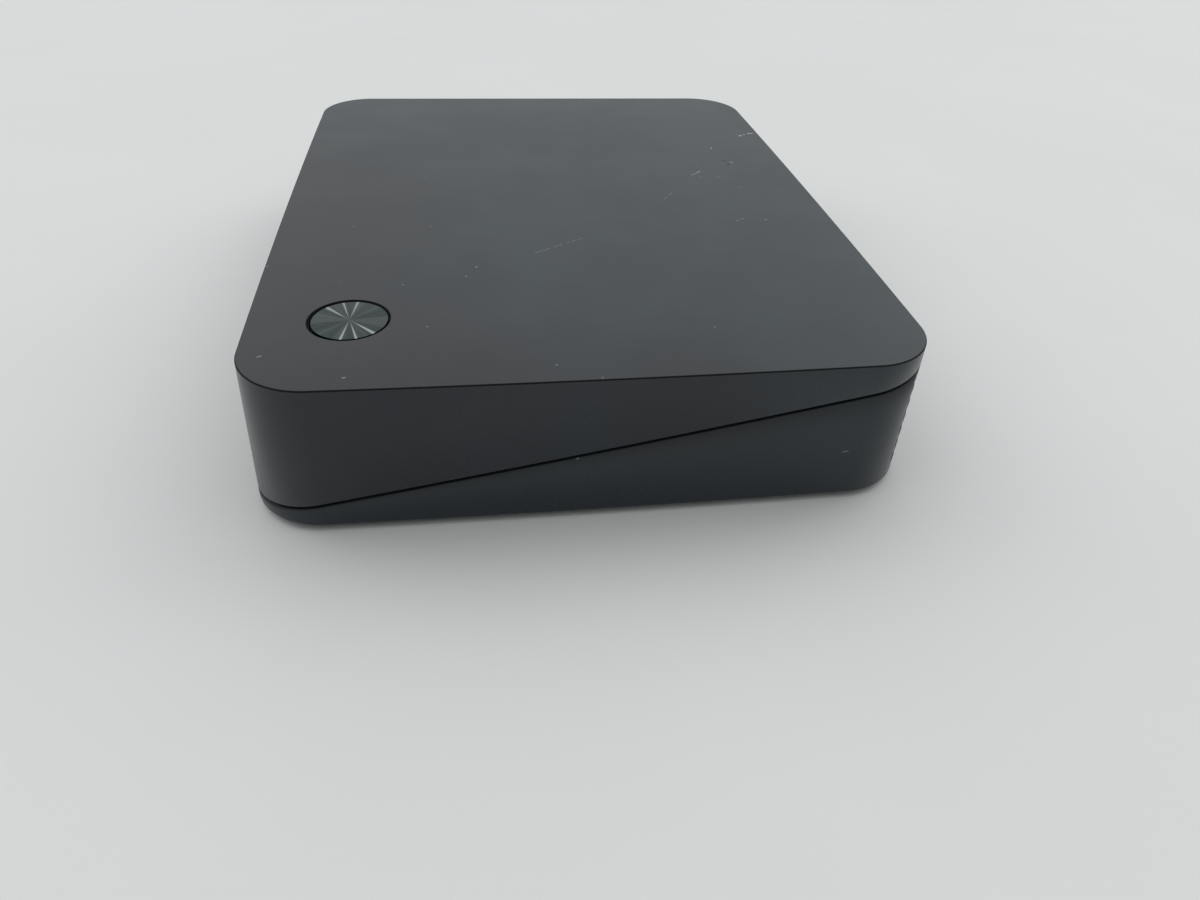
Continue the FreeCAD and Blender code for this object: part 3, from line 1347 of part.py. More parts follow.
def main():
    cover_form, tray_form = shells()
    top_cover(cover_form)
    bottom_tray(tray_form)
    rear_panel()
    rubber_feet()
    seat = d.foot_height + d.case_screw_seat
    screws("case_screws", case_posts, seat, d.case_screw_length, up=True)
    power_button()
    button_electronics()
    main_board()
    processor_and_heatsink()
    board_parts()
    headers_and_cables()
    hard_drive()
    drive_mounting()
    fan()
    coax_connectors()
    ethernet_jack()
    usb_jack()
    hdmi_jack()
    optical_jack()
    power_jack()
    doc.recompute()
    for thing in doc.Objects:
        check(thing)
    os.makedirs("parts", exist_ok=True)
    for piece in pieces:
        shape = piece.Shape
        if shape.isNull() or not shape.isValid():
            raise ValueError("%s has no valid shape" % piece.Label)
        shape.exportStep("parts/%s.step" % piece.Label)
        print("%-24s %2d solids %4d faces %10.1f mm3"
              % (piece.Label, len(shape.Solids), len(shape.Faces), shape.Volume))


main()
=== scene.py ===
"""Looks of a low black television recorder box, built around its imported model.

Every size is in millimetres in the box's own frame and is turned into metres where it is used.
"""

import json
import math

import bmesh
import bpy
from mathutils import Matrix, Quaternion, Vector


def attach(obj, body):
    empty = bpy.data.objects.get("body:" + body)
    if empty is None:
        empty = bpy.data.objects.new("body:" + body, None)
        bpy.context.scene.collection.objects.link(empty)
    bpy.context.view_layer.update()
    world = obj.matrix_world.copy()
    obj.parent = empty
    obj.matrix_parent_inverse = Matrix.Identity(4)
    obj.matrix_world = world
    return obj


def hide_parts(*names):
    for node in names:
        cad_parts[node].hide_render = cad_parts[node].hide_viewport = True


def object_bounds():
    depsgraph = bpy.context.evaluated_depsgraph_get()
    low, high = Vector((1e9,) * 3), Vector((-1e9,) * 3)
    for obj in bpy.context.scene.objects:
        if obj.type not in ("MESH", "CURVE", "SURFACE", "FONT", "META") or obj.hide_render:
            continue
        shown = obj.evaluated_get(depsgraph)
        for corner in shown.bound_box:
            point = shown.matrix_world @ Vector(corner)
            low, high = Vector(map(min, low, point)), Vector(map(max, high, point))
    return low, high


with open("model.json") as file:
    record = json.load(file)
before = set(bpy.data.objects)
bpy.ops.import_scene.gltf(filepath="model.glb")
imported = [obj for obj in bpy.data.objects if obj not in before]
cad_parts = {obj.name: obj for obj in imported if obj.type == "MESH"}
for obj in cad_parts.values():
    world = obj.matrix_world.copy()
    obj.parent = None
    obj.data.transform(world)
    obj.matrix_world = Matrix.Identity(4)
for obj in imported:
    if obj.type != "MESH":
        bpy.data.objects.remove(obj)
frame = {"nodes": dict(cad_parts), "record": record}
cad_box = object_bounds()

MM = 0.001
ops = bpy.ops

# The case
WIDTH, DEPTH = 200.0, 250.0
UNDERSIDE, TOP = 2.0, 48.2
CEILING, FLOOR = 46.0, 4.4
CORNER = 20.4
STRAIGHT_X, STRAIGHT_Y = WIDTH / 2 - CORNER, DEPTH / 2 - CORNER
SIDE_BOW, FRONT_BOW = 0.8, 0.7
LEFT_LEAN, RIGHT_LEAN = 2.7, 0.7
WALL = 2.2
SEAM_MIDDLE, SEAM_SLOPE, SEAM_GAP = 24.0, 0.184, 0.9
LIP_HEIGHT, LIP_INSET, LIP_PLAY = 2.0, 1.2, 0.15
TOP_ROUND, FLOOR_ROUND, SEAM_ROUND, LIP_ROUND = 0.5, 1.0, 0.12, 0.2
CORNER_STEPS, BOW_STEPS = 24, 16

# Places that pieces share
CASE_POSTS = [(x, y) for x in (-88, 88) for y in (-112, 112)]
FEET = [(x, y) for x in (-74, 74) for y in (-103, 103)]
BUTTON = (-68.3, -88.4)
BUTTON_RADIUS, BUTTON_GAP = 10.8, 0.7
BUTTON_HOLE = BUTTON_RADIUS + BUTTON_GAP
DISC = (BUTTON[0] + 0.2, BUTTON[1])
BUTTON_POSTS = [(BUTTON[0] - 17, BUTTON[1]), (BUTTON[0] + 17, BUTTON[1])]
DRIVE = (41.2, -25.0)
FAN = (-58.0, -68.0)
BOARD_TOP = 12.0
BOARD_POSTS = [(-84, -28), (-19.6, -28), (-84, 57.5), (84, 57.5), (41.2, 57.5), (53.375, 106.7)]
FAN_POSTS = [(FAN[0] + sx * 25, FAN[1] + sy * 25) for sx in (-1, 1) for sy in (-1, 1)]
DRIVE_POSTS = [(DRIVE[0] + sx * 36, DRIVE[1] + sy * 50) for sx in (-1, 1) for sy in (-1, 1)]

# The cover's posts: places, lower end and radius, and their pilot holes: places, lower and upper end
COVER_POSTS = [(CASE_POSTS, 12.0, 3.5), (BUTTON_POSTS, 35.0, 2.4)]
COVER_PILOTS = [(CASE_POSTS, 11.0, 28.0), (BUTTON_POSTS, 34.0, 43.8)]

# The tray's posts: places, upper end, radius and sides, and the radii of its holes and seats
TRAY_POSTS = [(CASE_POSTS, 12.0, 5.0, 40), (BOARD_POSTS, 10.4, 3.2, 32), (FAN_POSTS, 8.4, 3.2, 32),
              (DRIVE_POSTS, 6.4, 4.6, 32)]
PILOT, SHANK_HOLE, HEAD_SEAT, FOOT_SEAT = 1.35, 1.75, 3.3, 7.1

# The right wall's vents: the first slot's six sides, and the steps and counts along x, y and z
SIDE_VENTS = (93.5, 101, -118, -102, 7.7, 11.1, (0, 20, 5.2), (1, 9, 6))

# Screws: node, places, height of the seat, length, and whether they are driven upwards
SCREWS = [
    ("case_screws", CASE_POSTS, 8.0, 16.0, True), ("button_board_screws", BUTTON_POSTS, 33.8, 6.0, True),
    ("board_screws", BOARD_POSTS, 12.0, 7.0, False), ("bracket_screws", DRIVE_POSTS, 9.4, 5.6, False),
    ("fan_screws", FAN_POSTS, 23.4, 19.0, False),
]

# Connectors at the back
BAY_HALF, BAY_LOW, BAY_HIGH = 72.5, 10.6, 29.4
PANEL_FACE = 115.0
COAX = (-58.75, -38.0)
COAX_HEIGHT = 19.5
NETWORK_X, USB_X, VIDEO_X = -16.25, 5.1, 25.95
POWER_X, POWER_Z = 61.25, 17.5

# Rows of small parts on the main board: first x and y, step along x and y, count, and turn in degrees
CAPACITOR_ROWS = [
    (-66, 31.7, 3.5, 0, 9, 90), (-66, 49.2, 3.5, 0, 9, 90), (-26, -22, 0, 4, 13, 0),
    (19, 101, 2.4, 0, 7, 90), (44.5, 80, 0, 3, 5, 0), (-76, 56.2, 4.4, 0, 15, 0),
]
RESISTOR_ROWS = [
    (-77, -18, 0, 4, 12, 0), (-22, -12, 0, 4, 10, 0), (-24, 91, 3, 0, 6, 90), (0, 98.6, 3.6, 0, 4, 90),
    (-70, 74, 0, 4, 7, 0), (-60, 67.4, 3, 0, 5, 90), (72, 62, 0, 4, 9, 0), (78, 62, 0, 4, 9, 0),
]

# Small chips on the main board: x, y and turn in degrees
SMALL_CHIPS = [(-72, 64, 0), (-36, 64, 90), (-19, 66, 0), (48, 64, 90), (76, 101, 90), (14.5, 85, 0)]

# Wear on the case, each line by its start, end, width and strength: the top's in x and y, the front's
# in x and z
TOP_MARKS = [
    ((-11.9, -48.0), (5.4, -37.2), 0.2, 0.35), ((38.1, -7.9), (45.9, 3.6), 0.16, 0.3),
    ((56.8, 20.1), (61.1, 24.4), 0.6, 0.3), ((58.9, 16.8), (60.2, 18.2), 0.4, 0.2),
    ((66.5, 17.6), (69.1, 18.0), 0.4, 0.5), ((76.3, 34.4), (77.2, 33.6), 0.5, 0.5),
    ((89.2, 67.2), (92.1, 69.2), 0.55, 0.9), ((94.0, 70.2), (96.8, 70.9), 0.55, 0.9),
    ((63.1, -25.7), (65.9, -23.6), 0.3, 0.5), ((72.5, 53.0), (72.3, 50.4), 0.35, 0.5),
    ((-31.5, -57.2), (-31.3, -57.0), 0.35, 0.6), ((73.7, -25.3), (74.4, -25.0), 0.35, 0.4),
    ((36.3, -100.1), (36.6, -99.9), 0.35, 0.5), ((-67.5, -118.8), (-66.6, -118.7), 0.35, 0.5),
    ((-90.2, -106.9), (-89.6, -106.5), 0.4, 0.6), ((-72.5, -24.1), (-72.2, -23.8), 0.3, 0.5),
    ((-49.2, 21.7), (-48.9, 21.9), 0.3, 0.5),
]
TOP_CHIPS = [
    ((73.1, 36.2), (74.1, 35.0), 0.9, 1.0), ((74.8, 32.4), (75.2, 31.4), 0.7, 0.8),
    ((87.4, 124.3), (88.5, 123.5), 1.1, 1.0),
]
FRONT_MARKS = [
    ((-6.4, 22.0), (-6.0, 22.2), 0.4, 0.3), ((72.9, 18.4), (74.5, 18.6), 0.35, 0.25),
    ((84.1, 12.7), (86.4, 12.9), 0.4, 0.25), ((17.9, 8.6), (18.3, 8.8), 0.35, 0.25),
]

# Smudges: middle, reach, and share of the warm tone, which is taken away where it is below zero
FRONT_FACE = -124.5
SMUDGES = [
    ((-62, 5, TOP), 45, 0.5), ((-75, FRONT_FACE, 40), 45, 0.3), ((22, FRONT_FACE, 38), 28, 0.9),
    ((-84, FRONT_FACE, 18), 26, -0.6), ((-30, FRONT_FACE, 28), 24, -0.6),
]

# Colours and gloss of the case and of the button's disc, and the disc's painted reflections
TOP_WARM, WALL_WARM = (0.0125, 0.0090, 0.0125), (0.0105, 0.0100, 0.0175)
CASE_COOL, CASE_BLOTCH = (0.0110, 0.0182, 0.0240), (0.0110, 0.0138, 0.0188)
# The dull black is painted shade on the top's rolled edge and on the button hole's wall, and the real dark
# of chips in the top
CASE_BLACK, CASE_MARK = (0.001, 0.001, 0.001), (0.55, 0.55, 0.54)
TOP_ROUGH, WALL_ROUGH = (0.41, 0.435), (0.26, 0.30)
# The disc's pale tone is painted reflection in its broad sweeps, and its last colour a painted highlight in
# its rays
DISC_DARK, DISC_PALE, DISC_PAINTED_HIGHLIGHT = (0.036, 0.050, 0.046), (0.080, 0.092, 0.088), (0.38, 0.39, 0.385)

# The disc's painted highlight rays: degrees and half width
PAINTED_RAYS = ((132.5, 0.09), (104.5, 0.055), (81.5, 0.06))

# The camera, solved from the box's outline, its place in metres
LENS = 25.5734
CAMERA_PLACE = (-0.0314897, -0.3098951, 0.1718017)
CAMERA_TURN = (0.897579, 0.434982, -0.0474628, -0.0537576)

# The room, its softboxes and the paper floor
ROOM_FRONT, ROOM_BACK, ROOM_HORIZON, ROOM_CEILING, SOFTBOX = 0.32, 0.92, 0.7, 1.3, 1.4
ROOM_COLOUR = (0.93, 0.985, 1.0, 1.0)
PAPER, PAPER_PALE = (0.800, 0.780, 0.765), (0.815, 0.795, 0.780)


# Handling

def metres(*values):
    return tuple(value * MM for value in values)


def pick(*things):
    ops.object.select_all(action="DESELECT")
    for thing in things:
        thing.select_set(True)
    bpy.context.view_layer.objects.active = things[0]


def deselect_all():
    if bpy.context.object and bpy.context.object.mode != "OBJECT":
        ops.object.mode_set(mode="OBJECT")
    ops.object.select_all(action="DESELECT")


def newest(name):
    thing = bpy.context.object
    thing.name = name
    thing.data.name = name
    return thing


def set_down():
    """Put the active piece's place and size into its mesh."""
    ops.object.transform_apply(location=True, rotation=True, scale=True)


def moved(thing, place, turns=(0, 0, 0)):
    """Turn a piece about the origin, move it to its place and set it down there."""
    thing.rotation_euler = turns
    thing.location = metres(*place)
    pick(thing)
    set_down()
    return thing


def copied(first, place, degrees=0.0):
    """A copy with its own mesh, turned about the upright axis and moved."""
    copy = first.copy()
    copy.data = first.data.copy()
    bpy.context.collection.objects.link(copy)
    return moved(copy, place, (0, 0, math.radians(degrees)))


def copies(first, places):
    """The first piece copied to each x and y, and turned there by its degrees, if any."""
    made = [copied(first, (x, y, 0), sum(turn)) for x, y, *turn in places]
    bpy.data.objects.remove(first)
    return made


def opened(thing):
    pick(thing)
    ops.object.mode_set(mode="EDIT")
    ops.mesh.select_all(action="DESELECT")
    return bmesh.from_edit_mesh(thing.data)


def shut(thing):
    bmesh.update_edit_mesh(thing.data)
    ops.object.mode_set(mode="OBJECT")
    return thing


def upright(a, b):
    return abs(a.z - b.z) > 0.4


def at_level(level):
    return lambda a, b: abs(a.z - level) < 0.01 and abs(b.z - level) < 0.01


def every_edge(a, b):
    return True


def bevelled(thing, size, segments, wanted):
    """Round the edges that the test picks by their two ends."""
    shape = opened(thing)
    ops.mesh.select_mode(type="EDGE")
    for edge in shape.edges:
        edge.select_set(wanted(*[v.co / MM for v in edge.verts]))
    shape.select_flush_mode()
    ops.mesh.bevel(offset=size * MM, segments=segments, affect="EDGES")
    return shut(thing)


def brick(name, x0, x1, y0, y1, z0, z1):
    deselect_all()
    ops.mesh.primitive_cube_add(size=1, location=metres((x0 + x1) / 2, (y0 + y1) / 2, (z0 + z1) / 2),
                                scale=metres(x1 - x0, y1 - y0, z1 - z0))
    thing = newest(name)
    set_down()
    return thing


def rod(name, x, y, z0, z1, radius, sides=64):
    deselect_all()
    ops.mesh.primitive_cylinder_add(vertices=sides, radius=radius * MM, depth=(z1 - z0) * MM,
                                    location=metres(x, y, (z0 + z1) / 2))
    thing = newest(name)
    set_down()
    return thing


def turned(name, x, y, profile, sides=96):
    """Spin a closed profile of radius and height round the upright axis at x, y."""
    deselect_all()
    ops.mesh.primitive_circle_add(vertices=len(profile), radius=MM)
    thing = newest(name)
    shape = opened(thing)
    shape.verts.ensure_lookup_table()
    for vert, (radius, height) in zip(shape.verts, profile):
        vert.co = Vector((radius, 0, height)) * MM
    ops.mesh.select_all(action="SELECT")
    ops.mesh.spin(steps=sides, angle=math.tau, center=(0, 0, 0), axis=(0, 0, 1))
    ops.mesh.select_all(action="SELECT")
    ops.mesh.remove_doubles(threshold=0.004 * MM)
    ops.mesh.normals_make_consistent(inside=False)
    return moved(shut(thing), (x, y, 0))


def together(name, things):
    pick(*things)
    if len(things) > 1:
        ops.object.join()
    return newest(name)


def combine(thing, tools, operation):
    """Cut tools out of a piece, or add them to it; the tools are used up."""
    tool = together("tool", tools)
    modifier = thing.modifiers.new("combine", "BOOLEAN")
    modifier.operation = operation
    modifier.solver = "EXACT"
    modifier.object = tool
    pick(thing)
    ops.object.modifier_apply(modifier=modifier.name)
    bpy.data.objects.remove(tool)
    return thing


def cut(thing, *tools):
    return combine(thing, list(tools), "DIFFERENCE")


def add(thing, *tools):
    return combine(thing, list(tools), "UNION")


def smooth(thing, angle=30):
    pick(thing)
    ops.object.shade_smooth_by_angle(angle=math.radians(angle), keep_sharp_edges=False)
    return thing


# The case

def lean_and_bow(thing):
    """Swell the front and side walls, and lean the left and right walls in towards the top."""
    for vert in thing.data.vertices:
        x, y, z = vert.co / MM
        rise = (z - UNDERSIDE) / (TOP - UNDERSIDE)
        share = min(max((x + STRAIGHT_X) / (2 * STRAIGHT_X), 0), 1)
        along_side = (y - FRONT_BOW / 2) / STRAIGHT_Y
        along_front = x / STRAIGHT_X
        new_x = x - math.copysign(SIDE_BOW * along_side ** 2 * min(abs(x) / STRAIGHT_X, 1), x)
        new_x += rise * (LEFT_LEAN * (1 - share) - RIGHT_LEAN * share)
        new_y = y + FRONT_BOW * along_front ** 2 * max(0, -y) / (DEPTH / 2)
        vert.co = Vector((new_x, new_y, z)) * MM
        for axis in (0, 1):
            vert.co[axis] = min(max(vert.co[axis], cad_box[0][axis]), cad_box[1][axis])


def front_at(x):
    """Where the bowed front wall stands at x, round its corners too."""
    past = max(abs(x) - STRAIGHT_X, 0)
    return FRONT_BOW * (x / STRAIGHT_X) ** 2 - DEPTH / 2 + CORNER - math.sqrt(CORNER ** 2 - past ** 2)


def case_block(name, inset, low, high, top_round=0.0, bottom_round=0.0):
    """A solid block with the case's plan, drawn in by an inset all round."""
    half_x, half_y = WIDTH / 2 - inset, DEPTH / 2 - inset
    block = brick(name, -half_x, half_x, -half_y, half_y, low, high)
    bevelled(block, CORNER - inset, CORNER_STEPS, upright)
    for size, level in ((top_round, high), (bottom_round, low)):
        if size:
            bevelled(block, size, 5, at_level(level))
    opened(block)
    for step in range(1, BOW_STEPS):
        for axis, reach in (((1, 0, 0), STRAIGHT_X), ((0, 1, 0), STRAIGHT_Y)):
            place = (2 * step / BOW_STEPS - 1) * reach * MM
            ops.mesh.select_all(action="SELECT")
            ops.mesh.bisect(plane_co=[place * a for a in axis], plane_no=axis)
    shut(block)
    lean_and_bow(block)
    return block


def seam_cut(thing, offset, keep_above, soften=0.0):
    """Cut a block along the slanting seam, moved up by an offset."""
    def on_rim(a, b):
        return all(abs(p.z - SEAM_SLOPE * p.x - SEAM_MIDDLE - offset) < 0.01 for p in (a, b))

    opened(thing)
    ops.mesh.select_all(action="SELECT")
    normal = Vector((-SEAM_SLOPE, 0, 1)).normalized()
    ops.mesh.bisect(plane_co=metres(0, 0, SEAM_MIDDLE + offset), plane_no=normal, use_fill=True,
                    clear_inner=keep_above, clear_outer=not keep_above)
    shut(thing)
    if soften:
        bevelled(thing, soften, 2, on_rim)
    return thing


def rows_of_slots(x0, x1, y0, y1, z0, z1, step, counts):
    """Bricks repeated along X, Y and Z."""
    first = brick("slot", x0, x1, y0, y1, z0, z1)
    numbers = [(i, j, k) for i in range(counts[0]) for j in range(counts[1]) for k in range(counts[2])]
    return [first] + [copied(first, (i * step[0], j * step[1], k * step[2])) for i, j, k in numbers[1:]]


def floor_slots(middle, half_length):
    """Nine slots through the tray's floor, side by side under a piece that gets warm."""
    x, y = middle
    return rows_of_slots(x - 22, x - 19.6, y - half_length, y + half_length, 1, 5.4, (5.2, 0, 0), (9, 1, 1))


def back_window():
    return brick("window", -BAY_HALF, BAY_HALF, 122, 127, BAY_LOW, BAY_HIGH)


def button_hole():
    profile = [(0, CEILING - 2), (BUTTON_HOLE, CEILING - 2), (BUTTON_HOLE, TOP - 0.35),
               (BUTTON_HOLE + 0.1, TOP - 0.1), (BUTTON_HOLE + 0.5, TOP + 0.3), (0, TOP + 0.3)]
    return turned("hole", *BUTTON, profile, 128)


def top_cover():
    half_gap = SEAM_GAP / 2
    cover = case_block("cover_shell", 0, UNDERSIDE, TOP, top_round=TOP_ROUND)
    seam_cut(cover, half_gap, True, soften=SEAM_ROUND)
    cut(cover, case_block("hollow", WALL, -10, CEILING))
    rebate = case_block("rebate", LIP_INSET - LIP_PLAY, -10, CEILING)
    cut(cover, seam_cut(rebate, LIP_HEIGHT + LIP_PLAY - half_gap, False))
    add(cover, *[rod("post", x, y, low, CEILING + 1, radius, 32)
                 for places, low, radius in COVER_POSTS for x, y in places])
    cut(cover, *[rod("pilot", x, y, low, high, PILOT, 24)
                 for places, low, high in COVER_PILOTS for x, y in places])
    cut(cover, button_hole())
    cut(cover, back_window())
    return smooth(cover)


def bottom_tray():
    half_gap = SEAM_GAP / 2
    tray = case_block("tray_shell", 0, UNDERSIDE, TOP, bottom_round=FLOOR_ROUND)
    seam_cut(tray, -half_gap, False, soften=SEAM_ROUND)
    lip = case_block("lip", LIP_INSET, FLOOR, CEILING)
    add(tray, seam_cut(lip, LIP_HEIGHT - half_gap, False, soften=LIP_ROUND))
    cut(tray, case_block("hollow", WALL, FLOOR, TOP + 10))
    add(tray, *[rod("post", x, y, FLOOR - 1, high, radius, sides)
                for places, high, radius, sides in TRAY_POSTS for x, y in places])
    holes = [rod("hole", x, y, 3.0, 11.4, PILOT, 24) for x, y in BOARD_POSTS + FAN_POSTS + DRIVE_POSTS]
    holes += [rod("hole", x, y, 7.9, 13.0, SHANK_HOLE, 24) for x, y in CASE_POSTS]
    cut(tray, *holes)
    recesses = [rod("seat", x, y, 1.0, 8.0, HEAD_SEAT, 40) for x, y in CASE_POSTS]
    recesses += [rod("seat", x, y, 1.0, 2.8, FOOT_SEAT, 64) for x, y in FEET]
    cut(tray, *recesses)
    cut(tray, back_window())
    cut(tray, *floor_slots(FAN, 21), *floor_slots(DRIVE, 28))
    cut(tray, *rows_of_slots(*SIDE_VENTS))
    return smooth(tray)


# The button

def power_button_cap():
    """The spun metal disc, with a soft rim."""
    bottom, rim = 46.7, 48.1
    profile = [(0, bottom), (BUTTON_RADIUS, bottom), (BUTTON_RADIUS, rim - 0.22),
               (BUTTON_RADIUS - 0.06, rim - 0.08), (BUTTON_RADIUS - 0.22, rim - 0.01),
               (BUTTON_RADIUS - 0.3, rim), (0, rim)]
    return smooth(turned("button_disc", *DISC, profile, 128), 40)


def button_carrier():
    """The plastic plate under the disc, with the stem that presses the switch."""
    profile = [(0, 46.7), (10.7, 46.7), (10.7, 44.15), (13, 44.15), (13, 43.1), (12.85, 42.95),
               (3.4, 42.95), (3.0, 42.5), (3.0, 40.3), (2.75, 39.95), (0, 39.95)]
    return smooth(turned("carrier", *BUTTON, profile, 96), 40)


def light_guide():
    """The ring in the gap round the disc, on its skirt inside the case."""
    profile = [(11.05, 44.5), (11.05, 46.95), (11.1, 47.0), (11.4, 47.0), (11.45, 46.9), (11.45, 46.0),
               (14.15, 46.0), (14.15, 36.5), (13.35, 36.5), (13.35, 44.5)]
    return smooth(turned("light_guide", *BUTTON, profile, 128), 40)


# Small hardware

def rubber_foot(x, y):
    profile = [(0, 0.25), (3.4, 0.25), (3.7, 0), (5.9, 0), (6.25, 0.12), (6.95, 0.8), (7.0, 1.0),
               (7.0, 2.8), (0, 2.8)]
    return turned("foot", x, y, profile, 64)


def pan_screw(seat, length, up):
    """A small pan-head screw with a cross recess, its head below the seat when it is driven up."""
    core, root, pitch = 1.25, 0.98, 1.2
    profile = [(0, -1.7), (1.5, -1.7), (2.2, -1.5), (2.65, -1.05), (2.8, -0.5), (2.8, 0), (core, 0)]
    for i in range(int((length - 1.6) / pitch)):
        start = 0.6 + pitch * i
        profile += [(core, start), (root, start + 0.4), (root, start + 0.7), (core, start + 1.05)]
    profile += [(core, length - 0.9), (0.5, length), (0, length)]
    screw = turned("screw", 0, 0, profile, 24)
    cut(screw, brick("recess", -1.4, 1.4, -0.3, 0.3, -2, -0.8))
    cut(screw, brick("recess", -0.3, 0.3, -1.4, 1.4, -2, -0.8))
    return moved(screw, (0, 0, seat), (0 if up else math.pi, 0, 0))


# Connectors at the back

def laid_back(thing, x, z):
    """Turn an upright piece so that its top points to the back, at x and z."""
    return moved(thing, (x, 0, z), (-math.pi / 2, 0, 0))


def softened(thing, size, segments=1):
    return bevelled(thing, size, segments, every_edge)


def aerial_connector(x):
    """A die-cast block with a threaded barrel."""
    crest, root, pitch = 4.76, 4.42, 0.8
    profile = [(0, 111), (4.5, 111), (4.5, 117), (crest, 117.1)]
    for i in range(8):
        start = 117.2 + pitch * i
        profile += [(crest, start), (root, start + 0.3), (root, start + 0.42), (crest, start + 0.72)]
    profile += [(4.5, 124), (3.5, 124), (3.4, 123.9), (3.4, PANEL_FACE), (0, PANEL_FACE)]
    barrel = laid_back(turned("barrel", 0, 0, profile, 72), x, COAX_HEIGHT)
    return add(softened(brick("block", x - 7, x + 7, 101, 113, 12, 26.5), 0.4, 2), barrel)


def aerial_nut(x):
    """A hexagonal nut with chamfered corners."""
    near, far = PANEL_FACE, PANEL_FACE + 2
    nut = rod("nut", 0, 0, near, far, 5.5 / math.cos(math.pi / 6), 6)
    profile = [(0, near - 0.1), (5.6, near - 0.1), (6.5, near + 0.35), (6.5, far - 0.35),
               (5.6, far + 0.1), (0, far + 0.1)]
    combine(nut, [turned("form", 0, 0, profile, 64)], "INTERSECT")
    cut(nut, rod("hole", 0, 0, near - 5, far + 3, 4.81, 64))
    return laid_back(nut, x, COAX_HEIGHT)


def contact(x, width, front, back, low, high, drop=0.0):
    """A contact blade whose back end hangs lower by the drop."""
    blade = brick("blade", x - width / 2, x + width / 2, back, front, low, high)
    opened(blade)
    for vert in bmesh.from_edit_mesh(blade.data).verts:
        if vert.co.y < (front + back) / 2 * MM:
            vert.co.z -= drop * MM
    return shut(blade)


def row_of_contacts(name, first, count, pitch):
    """The first blade and its copies, one pitch apart to the right."""
    return together(name, [first] + [copied(first, (i * pitch, 0, 0)) for i in range(1, count)])


def socket_contacts():
    """Plated contacts inside the network, USB and video sockets and the aerial connectors."""
    rows = [
        ("network_contacts", contact(NETWORK_X - 3.57, 0.4, 114.2, 105.5, 22.35, 22.65, 3.0), 8, 1.02),
        ("usb_outer", contact(USB_X - 3.5, 1.0, 113.9, 106, 14.78, 14.95), 2, 7.0),
        ("usb_inner", contact(USB_X - 1.0, 1.0, 113.4, 106, 14.78, 14.95), 2, 2.0),
        ("video_upper", contact(VIDEO_X - 4.5, 0.45, 114.2, 108, 15.45, 15.58), 10, 1.0),
        ("video_lower", contact(VIDEO_X - 4.0, 0.45, 114.2, 108, 14.02, 14.15), 9, 1.0),
    ]
    pieces = [row_of_contacts(*row) for row in rows]
    for x in COAX:
        profile = [(0.3, 117), (0.3, 123.2), (0.45, 123.35), (0.68, 123.35), (0.68, 117)]
        pieces.append(laid_back(turned("spring", 0, 0, profile, 24), x, COAX_HEIGHT))
    return together("socket_contacts", pieces)


def power_pin():
    profile = [(0, 105), (1.12, 105), (1.12, 114.1), (0.98, 114.4), (0.7, 114.6), (0, 114.65)]
    return laid_back(turned("power_pin", 0, 0, profile, 32), POWER_X, POWER_Z)


# Small parts on the main board

def in_rows(rows):
    return [(x + i * dx, y + i * dy, turn) for x, y, dx, dy, count, turn in rows for i in range(count)]


def chip_bodies(name, rows):
    """Ceramic blocks, one at each place in the rows."""
    body = softened(brick("ceramic", -0.7, 0.7, -0.6, 0.6, BOARD_TOP, BOARD_TOP + 0.55), 0.06)
    return together(name, copies(body, in_rows(rows)))


def chip_ends():
    """The tinned caps on both ends of the ceramic blocks."""
    end = softened(brick("cap", 0.6, 1.0, -0.65, 0.65, BOARD_TOP - 0.02, BOARD_TOP + 0.6), 0.08)
    pair = together("caps", copies(end, [(0, 0, 0), (0, 0, 180)]))
    return together("chip_ends", copies(pair, in_rows(CAPACITOR_ROWS + RESISTOR_ROWS)))


def small_chips():
    body = softened(brick("small_chip", -2.0, 2.0, -2.5, 2.5, BOARD_TOP + 0.1, BOARD_TOP + 1.5), 0.2)
    cut(body, rod("dimple", -1.3, -1.8, BOARD_TOP + 1.4, BOARD_TOP + 2, 0.3, 20))
    return together("small_chips", copies(body, SMALL_CHIPS))


def chip_legs():
    """Bent legs, four on each side of every small chip."""
    leg = brick("leg", 1.9, 3.1, -0.2, 0.2, BOARD_TOP, BOARD_TOP + 0.15)
    opened(leg)
    for place in (2.3, 2.6):
        ops.mesh.select_all(action="SELECT")
        ops.mesh.bisect(plane_co=metres(place, 0, 0), plane_no=(1, 0, 0))
    for vert in bmesh.from_edit_mesh(leg.data).verts:
        if vert.co.x < 2.4 * MM:
            vert.co.z += 0.6 * MM
    shut(leg)
    side = together("side", copies(leg, [(0, y) for y in (-1.9, -0.63, 0.63, 1.9)]))
    both = together("sides", copies(side, [(0, 0, 0), (0, 0, 180)]))
    return together("chip_legs", copies(both, SMALL_CHIPS))


def clock_can():
    """The flat oval can of the quartz clock, on its flange."""
    top = BOARD_TOP + 3.4
    can = bevelled(brick("clock_can", -81.3, -76.7, 33.6, 44.4, BOARD_TOP + 0.4, top), 2.2, 10, upright)
    flange = brick("flange", -81.7, -76.3, 33.2, 44.8, BOARD_TOP, BOARD_TOP + 0.5)
    bevelled(flange, 2.6, 10, upright)
    return add(bevelled(can, 0.4, 3, at_level(top)), flange)


# Nodes

def node(tree, kind, **settings):
    made = tree.nodes.new(kind)
    for key, value in settings.items():
        setattr(made, key, value)
    return made


def feed(tree, socket, value):
    if isinstance(value, bpy.types.NodeSocket):
        tree.links.new(value, socket)
    else:
        socket.default_value = value


def maths(tree, operation, *values):
    made = node(tree, "ShaderNodeMath", operation=operation)
    for socket, value in zip(made.inputs, values):
        feed(tree, socket, value)
    return made.outputs[0]


def times(tree, first, second):
    return maths(tree, "MULTIPLY", first, second)


def plus(tree, first, second):
    return maths(tree, "ADD", first, second)


